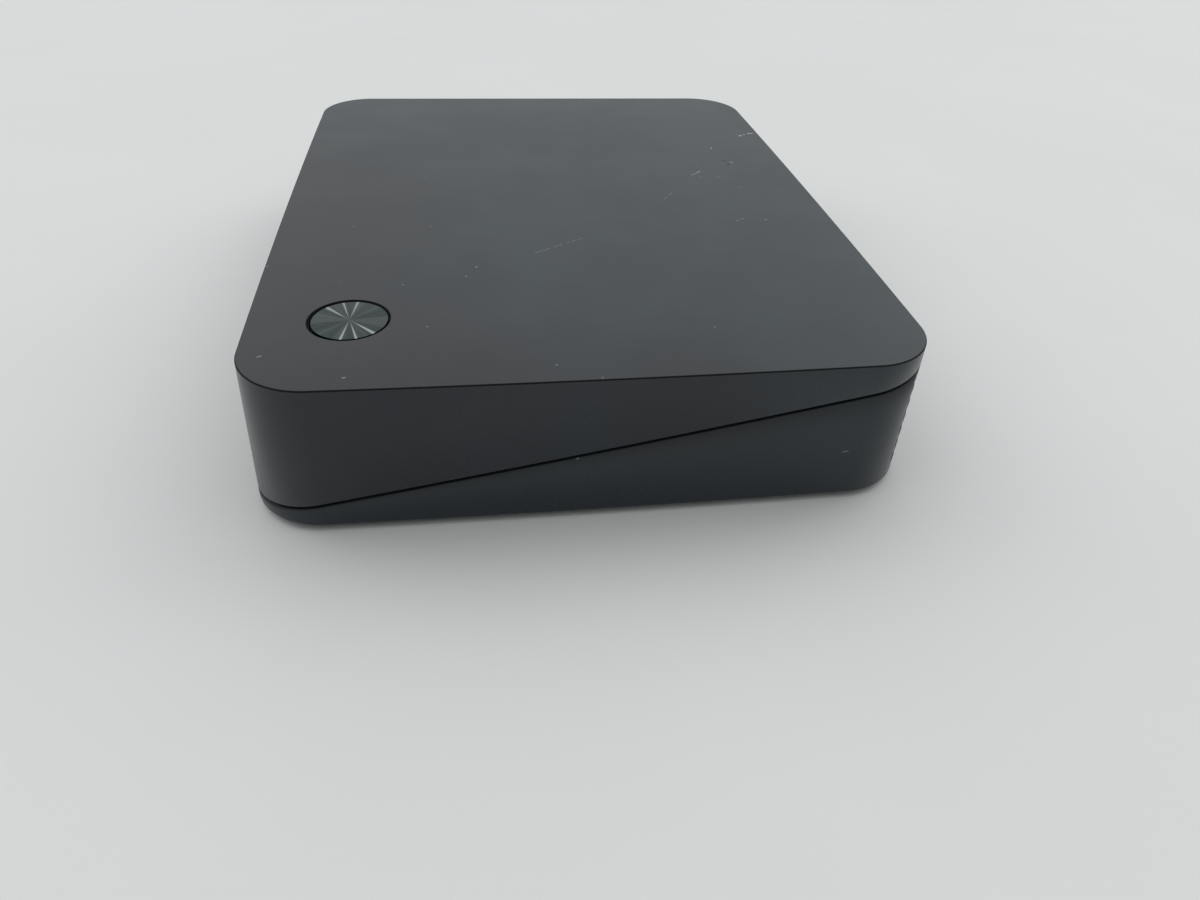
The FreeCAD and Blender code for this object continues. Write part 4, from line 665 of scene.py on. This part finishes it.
def larger(tree, first, second):
    return maths(tree, "MAXIMUM", first, second)


def vector(tree, operation, *values, out=0):
    made = node(tree, "ShaderNodeVectorMath", operation=operation)
    for socket, value in zip(made.inputs, values):
        feed(tree, socket, value)
    return made.outputs[out]


def distance(tree, first, second):
    return vector(tree, "DISTANCE", first, second, out=1)


def joined(tree, x=0.0, y=0.0, z=0.0):
    made = node(tree, "ShaderNodeCombineXYZ")
    for socket, value in zip(made.inputs, (x, y, z)):
        feed(tree, socket, value)
    return made.outputs[0]


def parted(tree, value):
    made = node(tree, "ShaderNodeSeparateXYZ")
    tree.links.new(value, made.inputs[0])
    return made.outputs


def ranged(tree, value, low, high, to_low=0.0, to_high=1.0):
    made = node(tree, "ShaderNodeMapRange", interpolation_type="SMOOTHSTEP")
    labels = ("Value", "From Min", "From Max", "To Min", "To Max")
    for label, number in zip(labels, (value, low, high, to_low, to_high)):
        feed(tree, made.inputs[label], number)
    return made.outputs["Result"]


def mixed(tree, share, first, second):
    made = node(tree, "ShaderNodeMix", data_type="RGBA")
    feed(tree, made.inputs[0], share)
    for socket, value in ((6, first), (7, second)):
        feed(tree, made.inputs[socket], (*value, 1) if isinstance(value, tuple) else value)
    return made.outputs[2]


def noise(tree, place, scale, detail=2.0, roughness=0.5):
    made = node(tree, "ShaderNodeTexNoise")
    for label, value in (("Vector", place), ("Scale", scale), ("Detail", detail), ("Roughness", roughness)):
        feed(tree, made.inputs[label], value)
    return made.outputs["Fac"]


def cells(tree, place, scale, **settings):
    made = node(tree, "ShaderNodeTexVoronoi", **settings)
    feed(tree, made.inputs["Vector"], place)
    feed(tree, made.inputs["Scale"], scale)
    return made


def own_place(tree):
    return node(tree, "ShaderNodeTexCoord").outputs["Object"]


def facing(tree):
    return parted(tree, node(tree, "ShaderNodeNewGeometry").outputs["Normal"])


def darker(colour, share):
    return tuple(value * share for value in colour)


# Effects that materials share

def effect(name, inputs, outputs):
    """An empty shader node group with its input sockets and its output node."""
    group = bpy.data.node_groups.new(name, "ShaderNodeTree")
    for label, value in inputs.items():
        kind = "NodeSocketVector" if isinstance(value, tuple) else "NodeSocketFloat"
        group.interface.new_socket(label, in_out="INPUT", socket_type=kind).default_value = value
    for label in outputs:
        group.interface.new_socket(label, in_out="OUTPUT", socket_type="NodeSocketFloat")
    inside = node(group, "NodeGroupInput").outputs
    return group, inside, node(group, "NodeGroupOutput").inputs


def moulded_grain():
    """Fine grain from the mould, slow blotches of handling, and sparse specks of dust on what faces up."""
    settings = {"Grain": 1800.0, "Blotch": 22.0}
    group, inside, outside = effect("moulded_grain", settings, ("Height", "Blotches", "Dust"))
    place = own_place(group)
    group.links.new(noise(group, place, inside["Grain"], 3.0), outside["Height"])
    slow = noise(group, place, inside["Blotch"], 4.0, 0.6)
    group.links.new(ranged(group, slow, 0.35, 0.65), outside["Blotches"])
    specks = cells(group, place, 260.0)
    near = ranged(group, specks.outputs["Distance"], 0.05, 0.11, 1.0, 0.0)
    few = ranged(group, parted(group, specks.outputs["Color"])[0], 0.965, 0.97)
    up = ranged(group, facing(group)[2], 0.7, 0.9)
    group.links.new(times(group, times(group, near, few), up), outside["Dust"])
    return group


def scratch_line():
    """A thin broken line from one point to another."""
    settings = {"Start": (0, 0, 0), "End": (0, 0, 0), "Width": 0.0002}
    group, inside, outside = effect("scratch_line", settings, ("Mask",))
    line = vector(group, "SUBTRACT", inside["End"], inside["Start"])
    away = vector(group, "SUBTRACT", own_place(group), inside["Start"])
    length = larger(group, vector(group, "DOT_PRODUCT", line, line, out=1), 1e-12)
    share = maths(group, "DIVIDE", vector(group, "DOT_PRODUCT", away, line, out=1), length)
    along = node(group, "ShaderNodeClamp")
    group.links.new(share, along.inputs["Value"])
    nearest = node(group, "ShaderNodeVectorMath", operation="SCALE")
    group.links.new(line, nearest.inputs[0])
    group.links.new(along.outputs[0], nearest.inputs["Scale"])
    off = distance(group, away, nearest.outputs[0])
    hit = ranged(group, maths(group, "DIVIDE", off, inside["Width"]), 0.3, 1.0, 1.0, 0.0)
    broken = ranged(group, noise(group, own_place(group), 900.0), 0.38, 0.55)
    group.links.new(times(group, hit, broken), outside["Mask"])
    return group


def drawn_lines():
    """Long fine streaks, as sheet and extrusions have them, along the axis whose stretch is small."""
    settings = {"Stretch": (1.0, 1.0, 1.0), "Scale": 4000.0}
    group, inside, outside = effect("drawn_lines", settings, ("Lines", "Patches"))
    stretched = vector(group, "MULTIPLY", own_place(group), inside["Stretch"])
    group.links.new(ranged(group, noise(group, stretched, inside["Scale"], 3.0), 0.3, 0.7), outside["Lines"])
    group.links.new(ranged(group, noise(group, own_place(group), 60.0, 3.0), 0.35, 0.65), outside["Patches"])
    return group


GROUPS = {"grain": moulded_grain(), "scratch": scratch_line(), "lines": drawn_lines()}


def placed(tree, effect_name, **values):
    made = node(tree, "ShaderNodeGroup")
    made.node_tree = GROUPS[effect_name]
    for label, value in values.items():
        feed(tree, made.inputs[label], value)
    return made.outputs


# Materials

class Finish:
    """A material with one Principled shader, its colour, roughness and bump fed from nodes."""

    def __init__(self, name, metallic=0.0):
        self.material = bpy.data.materials.new(name)
        self.material.use_nodes = True
        self.tree = self.material.node_tree
        self.shader = self.tree.nodes["Principled BSDF"]
        self.shader.inputs["Metallic"].default_value = metallic
        self.place = own_place(self.tree)

    def colour(self, value):
        self.tree.links.new(value, self.shader.inputs["Base Color"])

    def rough(self, share, low, high):
        feed(self.tree, self.shader.inputs["Roughness"], ranged(self.tree, share, 0.0, 1.0, low, high))

    def bump(self, height, strength, depth):
        made = node(self.tree, "ShaderNodeBump")
        made.inputs["Strength"].default_value = strength
        made.inputs["Distance"].default_value = depth * MM
        self.tree.links.new(height, made.inputs["Height"])
        self.tree.links.new(made.outputs["Normal"], self.shader.inputs["Normal"])


def moulded(name, first, second, rough, grain=1800.0, blotch=40.0, bump=0.12, metallic=0.0, gloss=0.5):
    """A moulded or cast surface: grain in its bump, blotches in its colour and gloss, a little dust."""
    finish = Finish(name, metallic)
    finish.shader.inputs["Specular IOR Level"].default_value = gloss
    effects = placed(finish.tree, "grain", Grain=grain, Blotch=blotch)
    tone = mixed(finish.tree, effects["Blotches"], first, second)
    dust = times(finish.tree, effects["Dust"], 0.25)
    finish.colour(mixed(finish.tree, dust, tone, (0.35, 0.34, 0.32)))
    finish.rough(effects["Blotches"], *rough)
    finish.bump(effects["Height"], bump, 0.2)
    return finish


def drawn(name, first, second, rough, stretch=(1.0, 0.01, 1.0), bump=0.1, scale=4000.0):
    """Drawn, rolled or brushed metal."""
    finish = Finish(name, 1.0)
    effects = placed(finish.tree, "lines", Stretch=stretch, Scale=scale)
    tone = mixed(finish.tree, effects["Patches"], first, second)
    finish.colour(mixed(finish.tree, times(finish.tree, effects["Lines"], 0.35), tone, darker(first, 0.7)))
    finish.rough(effects["Lines"], *rough)
    finish.bump(effects["Lines"], bump, 0.03)
    return finish


def plated(name, first, second, rough, bump=0.05, scale=1500.0):
    """Plated metal, with no direction in its fine marks."""
    return drawn(name, first, second, rough, (1.0, 1.0, 1.0), bump, scale)


def lines_on_case(tree, marks, place_of):
    """One mask for a list of marks, each end put into space by a function of its two numbers."""
    mask = 0.0
    for first, second, width, strength in marks:
        start, end = metres(*place_of(*first)), metres(*place_of(*second))
        line = placed(tree, "scratch", Start=start, End=end, Width=width * MM)["Mask"]
        mask = larger(tree, mask, times(tree, line, strength))
    return mask


def on_top(x, y):
    return x, y, TOP


def on_front(x, z):
    return x, front_at(x), z


def warm_share(tree, place, warmth):
    """Warm at the left, up to a wandering slanting line, and more or less so in the smudges."""
    apart = parted(tree, place)
    slant = plus(tree, apart["X"], times(tree, apart["Y"], 0.4))
    wander = times(tree, maths(tree, "SUBTRACT", noise(tree, place, 14.0, 3.0), 0.5), 0.09)
    warm = ranged(tree, plus(tree, slant, wander), -0.09, -0.045, warmth, 0.0)
    for middle, reach, share in SMUDGES:
        away = distance(tree, place, metres(*middle))
        warm = plus(tree, warm, ranged(tree, away, 0.3 * reach * MM, reach * MM, share * warmth, 0.0))
    return warm


def painted_shade_and_chips(tree, place, lift):
    """Dull black: painted shade on the top's rolled edge and on the wall of the button hole, and the real
    dark of its chips.
    """
    # painted shade: a dark band round the top's rounded edge
    rolled = times(tree, ranged(tree, lift, 0.1, 0.3), ranged(tree, lift, 0.85, 0.99, 1.0, 0.0))
    shade_and_chips = larger(tree, rolled, lines_on_case(tree, TOP_CHIPS, on_top))
    apart = parted(tree, place)
    # painted shade on the wall and chamfer of the button hole
    from_button = distance(tree, joined(tree, apart["X"], apart["Y"]), metres(*BUTTON, 0))
    edge = ranged(tree, from_button, (BUTTON_HOLE + 0.3) * MM, (BUTTON_HOLE + 0.4) * MM, 1.0, 0.0)
    return larger(tree, shade_and_chips, edge)


def case_plastic(name, warmth):
    """Satin black moulding, warm at the left and in smudges and else cool, with scratches and chips, and
    painted shade on the top's rolled edge and in the button hole.
    """
    finish = Finish(name)
    tree = finish.tree
    effects = placed(tree, "grain", Grain=1500.0, Blotch=22.0)
    lift = facing(tree)[2]
    level = ranged(tree, lift, 0.9, 0.99)
    warm_tone = mixed(tree, level, WALL_WARM, TOP_WARM)
    tone = mixed(tree, warm_share(tree, finish.place, warmth), CASE_COOL, warm_tone)
    tone = mixed(tree, times(tree, effects["Blotches"], 0.35), tone, CASE_BLOTCH)
    # dull black mask: painted shade on the rolled edge and in the button hole, and the dark chips
    black = painted_shade_and_chips(tree, finish.place, lift)
    tone = mixed(tree, black, tone, CASE_BLACK)
    marks = larger(tree, times(tree, effects["Dust"], 0.35), lines_on_case(tree, TOP_MARKS, on_top))
    marks = larger(tree, marks, lines_on_case(tree, FRONT_MARKS, on_front))
    finish.colour(mixed(tree, marks, tone, CASE_MARK))
    wall_rough = ranged(tree, effects["Blotches"], 0.0, 1.0, *WALL_ROUGH)
    top_rough = ranged(tree, effects["Blotches"], 0.0, 1.0, *TOP_ROUGH)
    finish.rough(black, ranged(tree, level, 0.0, 1.0, wall_rough, top_rough), 1.0)
    finish.bump(effects["Height"], 0.22, 0.2)
    return finish


def painted_highlight_rays(tree, angle):
    """Painted highlight: narrow bright rays that run through the disc's middle."""
    rays = 0.0
    for degrees, width in PAINTED_RAYS:
        turn = maths(tree, "SUBTRACT", angle, math.radians(degrees))
        off = maths(tree, "ABSOLUTE", maths(tree, "SINE", turn))
        rays = larger(tree, rays, ranged(tree, off, 0.0, width, 1.0, 0.0))
    return rays


def spun_metal():
    """Dark spun metal: fine rings, and painted reflections in broad soft sweeps and narrow bright rays."""
    finish = Finish("spun_button_metal", 1.0)
    tree = finish.tree
    middle = parted(tree, vector(tree, "SUBTRACT", finish.place, metres(*DISC, 0)))
    angle = maths(tree, "ARCTAN2", middle["Y"], middle["X"])
    radius = vector(tree, "LENGTH", joined(tree, middle["X"], middle["Y"]), out=1)
    ring_place = joined(tree, radius, times(tree, angle, 2e-6))
    rings = ranged(tree, noise(tree, ring_place, 9000.0), 0.3, 0.7)
    # painted reflection: pale and dark sweeps in opposite pairs round the disc
    double = times(tree, angle, 2.0)
    painted_sweep_place = joined(tree, maths(tree, "COSINE", double), maths(tree, "SINE", double))
    painted_sweep = ranged(tree, noise(tree, painted_sweep_place, 1.6, 3.0), 0.35, 0.65)
    tone = mixed(tree, painted_sweep, DISC_DARK, DISC_PALE)
    tone = mixed(tree, times(tree, rings, 0.25), tone, darker(DISC_DARK, 0.5))
    reach = ranged(tree, radius, 0.0, BUTTON_RADIUS * MM)
    # painted highlight: the bright rays, weaker at the disc's middle
    painted_highlight = times(tree, painted_highlight_rays(tree, angle), ranged(tree, reach, 0.0, 0.5, 0.5, 1.0))
    painted_highlight = times(tree, painted_highlight, ranged(tree, rings, 0.0, 1.0, 1.0, 0.8))
    finish.colour(mixed(tree, painted_highlight, tone, DISC_PAINTED_HIGHLIGHT))
    finish.shader.inputs["Anisotropic"].default_value = 0.6
    tangent = node(tree, "ShaderNodeTangent", direction_type="RADIAL", axis="Z")
    tree.links.new(tangent.outputs[0], finish.shader.inputs["Tangent"])
    finish.rough(rings, 0.32, 0.4)
    finish.bump(rings, 0.15, 0.03)
    return finish


def waves(tree, along, pitch):
    """A sine that repeats at every pitch."""
    return maths(tree, "SINE", times(tree, along, math.tau / (pitch * MM)))


def board_tracks(tree, place):
    """Ordered runs of tracks, some along x and some along y, with plain fields between."""
    region = parted(tree, cells(tree, place, 95.0, distance="CHEBYCHEV").outputs["Color"])
    apart = parted(tree, place)
    along_y = maths(tree, "GREATER_THAN", region[0], 0.5)
    across = plus(tree, times(tree, apart["X"], along_y),
                  times(tree, apart["Y"], maths(tree, "SUBTRACT", 1.0, along_y)))
    return times(tree, ranged(tree, waves(tree, across, 0.9), 0.1, 0.35),
                 maths(tree, "GREATER_THAN", region[1], 0.35))


def circuit_board(name, lacquer, copper):
    """Lacquered laminate: tracks, small plated holes with painted shade in their middles, and a bare tan
    edge.
    """
    finish = Finish(name)
    tree = finish.tree
    tracks = board_tracks(tree, finish.place)
    holes = cells(tree, finish.place, 210.0)
    some = maths(tree, "GREATER_THAN", parted(tree, holes.outputs["Color"])[0], 0.45)
    rings = times(tree, ranged(tree, holes.outputs["Distance"], 0.12, 0.15, 1.0, 0.0), some)
    # painted shade: the middle of each plated hole darkened as its open bore
    painted_hole_shade = times(tree, ranged(tree, holes.outputs["Distance"], 0.05, 0.07, 1.0, 0.0), some)
    effects = placed(tree, "grain", Grain=900.0, Blotch=30.0)
    tone = mixed(tree, effects["Blotches"], lacquer, darker(lacquer, 0.8))
    tone = mixed(tree, tracks, tone, copper)
    tone = mixed(tree, rings, tone, (0.62, 0.55, 0.36))
    tone = mixed(tree, painted_hole_shade, tone, (0.01, 0.01, 0.01))
    edge = ranged(tree, maths(tree, "ABSOLUTE", facing(tree)[2]), 0.3, 0.6, 1.0, 0.0)
    finish.colour(mixed(tree, edge, tone, (0.42, 0.35, 0.18)))
    finish.rough(larger(tree, edge, effects["Blotches"]), 0.22, 0.5)
    tree.links.new(times(tree, rings, 0.9), finish.shader.inputs["Metallic"])
    finish.bump(plus(tree, tracks, times(tree, rings, 1.5)), 0.3, 0.05)
    return finish


def zinc_sheet():
    """Bright zinc plate with a faint spangle and fine rolling lines."""
    finish = drawn("zinc_plate", (0.60, 0.61, 0.62), (0.68, 0.69, 0.70), (0.28, 0.42), (0.02, 1.0, 1.0))
    tree = finish.tree
    spangle = parted(tree, cells(tree, finish.place, 320.0).outputs["Color"])[1]
    plain = finish.shader.inputs["Base Color"].links[0].from_socket
    finish.colour(mixed(tree, times(tree, spangle, 0.3), plain, (0.42, 0.43, 0.45)))
    return finish


def flat_cable(name, pitch, insulation, furrow_shade):
    """A flat cable: one furrow between each two wires, across its width, with painted shade in the furrows.
    """
    finish = Finish(name)
    tree = finish.tree
    effects = placed(tree, "grain", Grain=700.0, Blotch=60.0)
    wires = waves(tree, parted(tree, finish.place)["X"], pitch)
    tone = mixed(tree, effects["Blotches"], insulation, darker(insulation, 0.88))
    # painted shade darkens each furrow
    finish.colour(mixed(tree, ranged(tree, wires, -1.0, -0.6, 1.0, 0.0), tone, furrow_shade))
    finish.rough(effects["Blotches"], 0.35, 0.5)
    finish.bump(wires, 0.5, 0.15)
    return finish


def banded(name, coat, top, pitch):
    """A round part on the board: a coat with fine turns round it, painted shade between the turns, and a
    bare top.
    """
    finish = Finish(name)
    tree = finish.tree
    effects = placed(tree, "grain", Grain=1200.0, Blotch=90.0)
    turns = waves(tree, parted(tree, finish.place)["Z"], pitch)
    tone = mixed(tree, effects["Blotches"], coat, darker(coat, 0.75))
    # painted shade in the furrows between the turns
    tone = mixed(tree, ranged(tree, turns, -1.0, 0.0, 0.4, 0.0), tone, (0.01, 0.01, 0.01))
    up = ranged(tree, facing(tree)[2], 0.8, 0.95)
    finish.colour(mixed(tree, up, tone, top))
    finish.rough(effects["Blotches"], 0.3, 0.42)
    tree.links.new(times(tree, up, 0.8), finish.shader.inputs["Metallic"])
    finish.bump(turns, 0.25, 0.05)
    return finish


# Camera, floor and light

def photo_camera():
    data = bpy.data.cameras.new("photo_camera")
    data.sensor_width = 36
    data.lens = LENS
    data.clip_start = 0.01
    camera = bpy.data.objects.new("photo_camera", data)
    camera.rotation_mode = "QUATERNION"
    camera.location = CAMERA_PLACE
    camera.rotation_quaternion = Quaternion(CAMERA_TURN)
    bpy.context.collection.objects.link(camera)
    bpy.context.scene.camera = camera


def floor_paper():
    """Pale paper, faintly uneven."""
    finish = Finish("floor_paper")
    effects = placed(finish.tree, "grain", Grain=300.0, Blotch=5.0)
    finish.colour(mixed(finish.tree, effects["Blotches"], PAPER, PAPER_PALE))
    finish.shader.inputs["Roughness"].default_value = 0.8
    return finish.material


def pale_floor():
    deselect_all()
    ops.mesh.primitive_plane_add(size=6)
    floor = newest("floor")
    floor.data.materials.append(floor_paper())


def room():
    """A plain room, brighter overhead and behind the box than in front of it."""
    world = bpy.data.worlds.new("room")
    bpy.context.scene.world = world
    world.use_nodes = True
    tree = world.node_tree
    way = parted(tree, node(tree, "ShaderNodeTexCoord").outputs["Generated"])
    level = times(tree, ranged(tree, way["Y"], -0.9, 0.6, ROOM_FRONT, ROOM_BACK),
                  ranged(tree, way["Z"], 0.1, 0.7, ROOM_HORIZON, ROOM_CEILING))
    tree.links.new(level, tree.nodes["Background"].inputs["Strength"])
    tree.nodes["Background"].inputs["Color"].default_value = ROOM_COLOUR


def softbox(name, side):
    data = bpy.data.lights.new(name, "AREA")
    data.size = 0.8
    data.energy = SOFTBOX
    lamp = bpy.data.objects.new(name, data)
    lamp.location = (1.05 * side, 0.45, 0.95)
    lamp.rotation_euler = (-lamp.location).to_track_quat("-Z", "Y").to_euler()
    lamp.visible_camera = False
    bpy.context.collection.objects.link(lamp)


photo_camera()
pale_floor()
room()
softbox("left_softbox", -1)
softbox("right_softbox", 1)
bpy.context.scene.view_settings.view_transform = "Standard"

FINISHES = {
    "case_plastic": case_plastic("cover_black_plastic", 1.0),
    "button_metal": spun_metal(),
    "inner_plastic": moulded("inner_black_plastic", (0.022, 0.022, 0.023), (0.030, 0.030, 0.031),
                             (0.42, 0.55), bump=0.15),
    "smoked_plastic": moulded("smoked_polished_plastic", (0.004, 0.004, 0.0045), (0.006, 0.006, 0.006),
                              (0.35, 0.5), bump=0.02, gloss=0.12),
    "board_laminate": circuit_board("green_board", (0.006, 0.070, 0.030), (0.020, 0.130, 0.055)),
    "bright_steel": zinc_sheet(),
    "die_cast": moulded("cast_aluminium", (0.50, 0.51, 0.52), (0.58, 0.59, 0.60), (0.38, 0.5),
                        1100.0, 50.0, 0.25, 1.0),
    "heatsink_aluminium": drawn("extruded_aluminium", (0.66, 0.67, 0.68), (0.72, 0.73, 0.74), (0.3, 0.45)),
    "nickel": plated("nickel_plate", (0.66, 0.63, 0.57), (0.72, 0.69, 0.62), (0.18, 0.3)),
    "chip_plastic": moulded("chip_epoxy", (0.018, 0.018, 0.019), (0.026, 0.026, 0.027), (0.5, 0.62),
                            2600.0, 120.0, 0.1),
    "white_plastic": moulded("natural_nylon", (0.74, 0.72, 0.66), (0.66, 0.64, 0.57), (0.35, 0.48),
                             1500.0, 70.0, 0.06),
    "lamp_plastic": moulded("lamp_resin", (0.80, 0.82, 0.76), (0.70, 0.73, 0.66), (0.12, 0.2),
                            2000.0, 200.0, 0.03),
    "soft_rubber": moulded("soft_rubber", (0.014, 0.014, 0.014), (0.022, 0.022, 0.022), (0.75, 0.9),
                           1400.0, 80.0, 0.2),
    "thermal_silicone": moulded("thermal_silicone", (0.36, 0.42, 0.52), (0.42, 0.47, 0.56), (0.6, 0.75),
                                900.0, 60.0, 0.2),
    "ribbon_plastic": flat_cable("ribbon_cable", 1.0, (0.62, 0.62, 0.60), (0.30, 0.30, 0.30)),
    "copper_coil": banded("ferrite_coil", (0.11, 0.10, 0.095), (0.20, 0.19, 0.18), 0.6),
}
OWN_FINISHES = {
    "capacitors": banded("sleeved_capacitors", (0.012, 0.020, 0.045), (0.66, 0.67, 0.68), 3.7),
    "hard_drive_board": circuit_board("blue_board", (0.006, 0.022, 0.060), (0.015, 0.050, 0.110)),
    "hard_drive_lid": drawn("brushed_lid", (0.62, 0.62, 0.62), (0.68, 0.68, 0.68), (0.25, 0.38)),
}
for part in frame["record"]["subparts"]:
    name = part["node"]
    finish = OWN_FINISHES.get(name, FINISHES[part["material_slot"]])
    for place in frame["nodes"][name].material_slots:
        place.material = finish.material


def dress(piece, body, slot, *nodes, own=None):
    """Give a piece its own finish or else its slot's, and its body, and hide the nodes that it stands in
    for.
    """
    piece.data.materials.clear()
    piece.data.materials.append((own or FINISHES[slot]).material)
    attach(piece, body)
    if nodes:
        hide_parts(*nodes)


dress(top_cover(), "case", "case_plastic", "top_cover")
dress(bottom_tray(), "case", "case_plastic", "bottom_tray", own=case_plastic("tray_black_plastic", 0.1))
dress(power_button_cap(), "button", "button_metal", "power_button_cap")
dress(button_carrier(), "button", "inner_plastic", "button_carrier")
dress(light_guide(), "case", "smoked_plastic", "light_guide_ring")
feet = together("sole_feet", [rubber_foot(x, y) for x, y in FEET])
dress(smooth(feet, 40), "case", "soft_rubber", "rubber_feet")
for name, places, seat, length, up in SCREWS:
    screws = together(name + "_cut", copies(pan_screw(seat, length, up), places))
    dress(smooth(screws, 40), "case", "bright_steel", name)
aerials = together("aerial_connectors", [aerial_connector(x) for x in COAX])
dress(smooth(aerials, 35), "case", "nickel", "coax_connectors")
nuts = together("aerial_nuts", [aerial_nut(x) for x in COAX])
dress(smooth(nuts, 35), "case", "nickel", "coax_nuts")

gold = plated("gold_plate", (0.76, 0.56, 0.25), (0.80, 0.61, 0.30), (0.2, 0.32))
dress(smooth(socket_contacts()), "case", "nickel", own=gold)
dress(smooth(power_pin(), 40), "case", "nickel")

ceramic = moulded("tan_ceramic", (0.30, 0.21, 0.12), (0.36, 0.26, 0.16), (0.45, 0.6), 2400.0, 400.0, 0.08)
tin = plated("tinned_ends", (0.62, 0.62, 0.60), (0.70, 0.70, 0.68), (0.3, 0.5), 0.08, 2500.0)
dress(chip_bodies("chip_capacitors", CAPACITOR_ROWS), "case", "chip_plastic", own=ceramic)
dress(chip_bodies("chip_resistors", RESISTOR_ROWS), "case", "chip_plastic")
dress(smooth(chip_ends()), "case", "nickel", own=tin)
dress(smooth(chip_legs()), "case", "nickel", own=tin)
dress(small_chips(), "case", "chip_plastic")
dress(smooth(clock_can()), "case", "nickel")
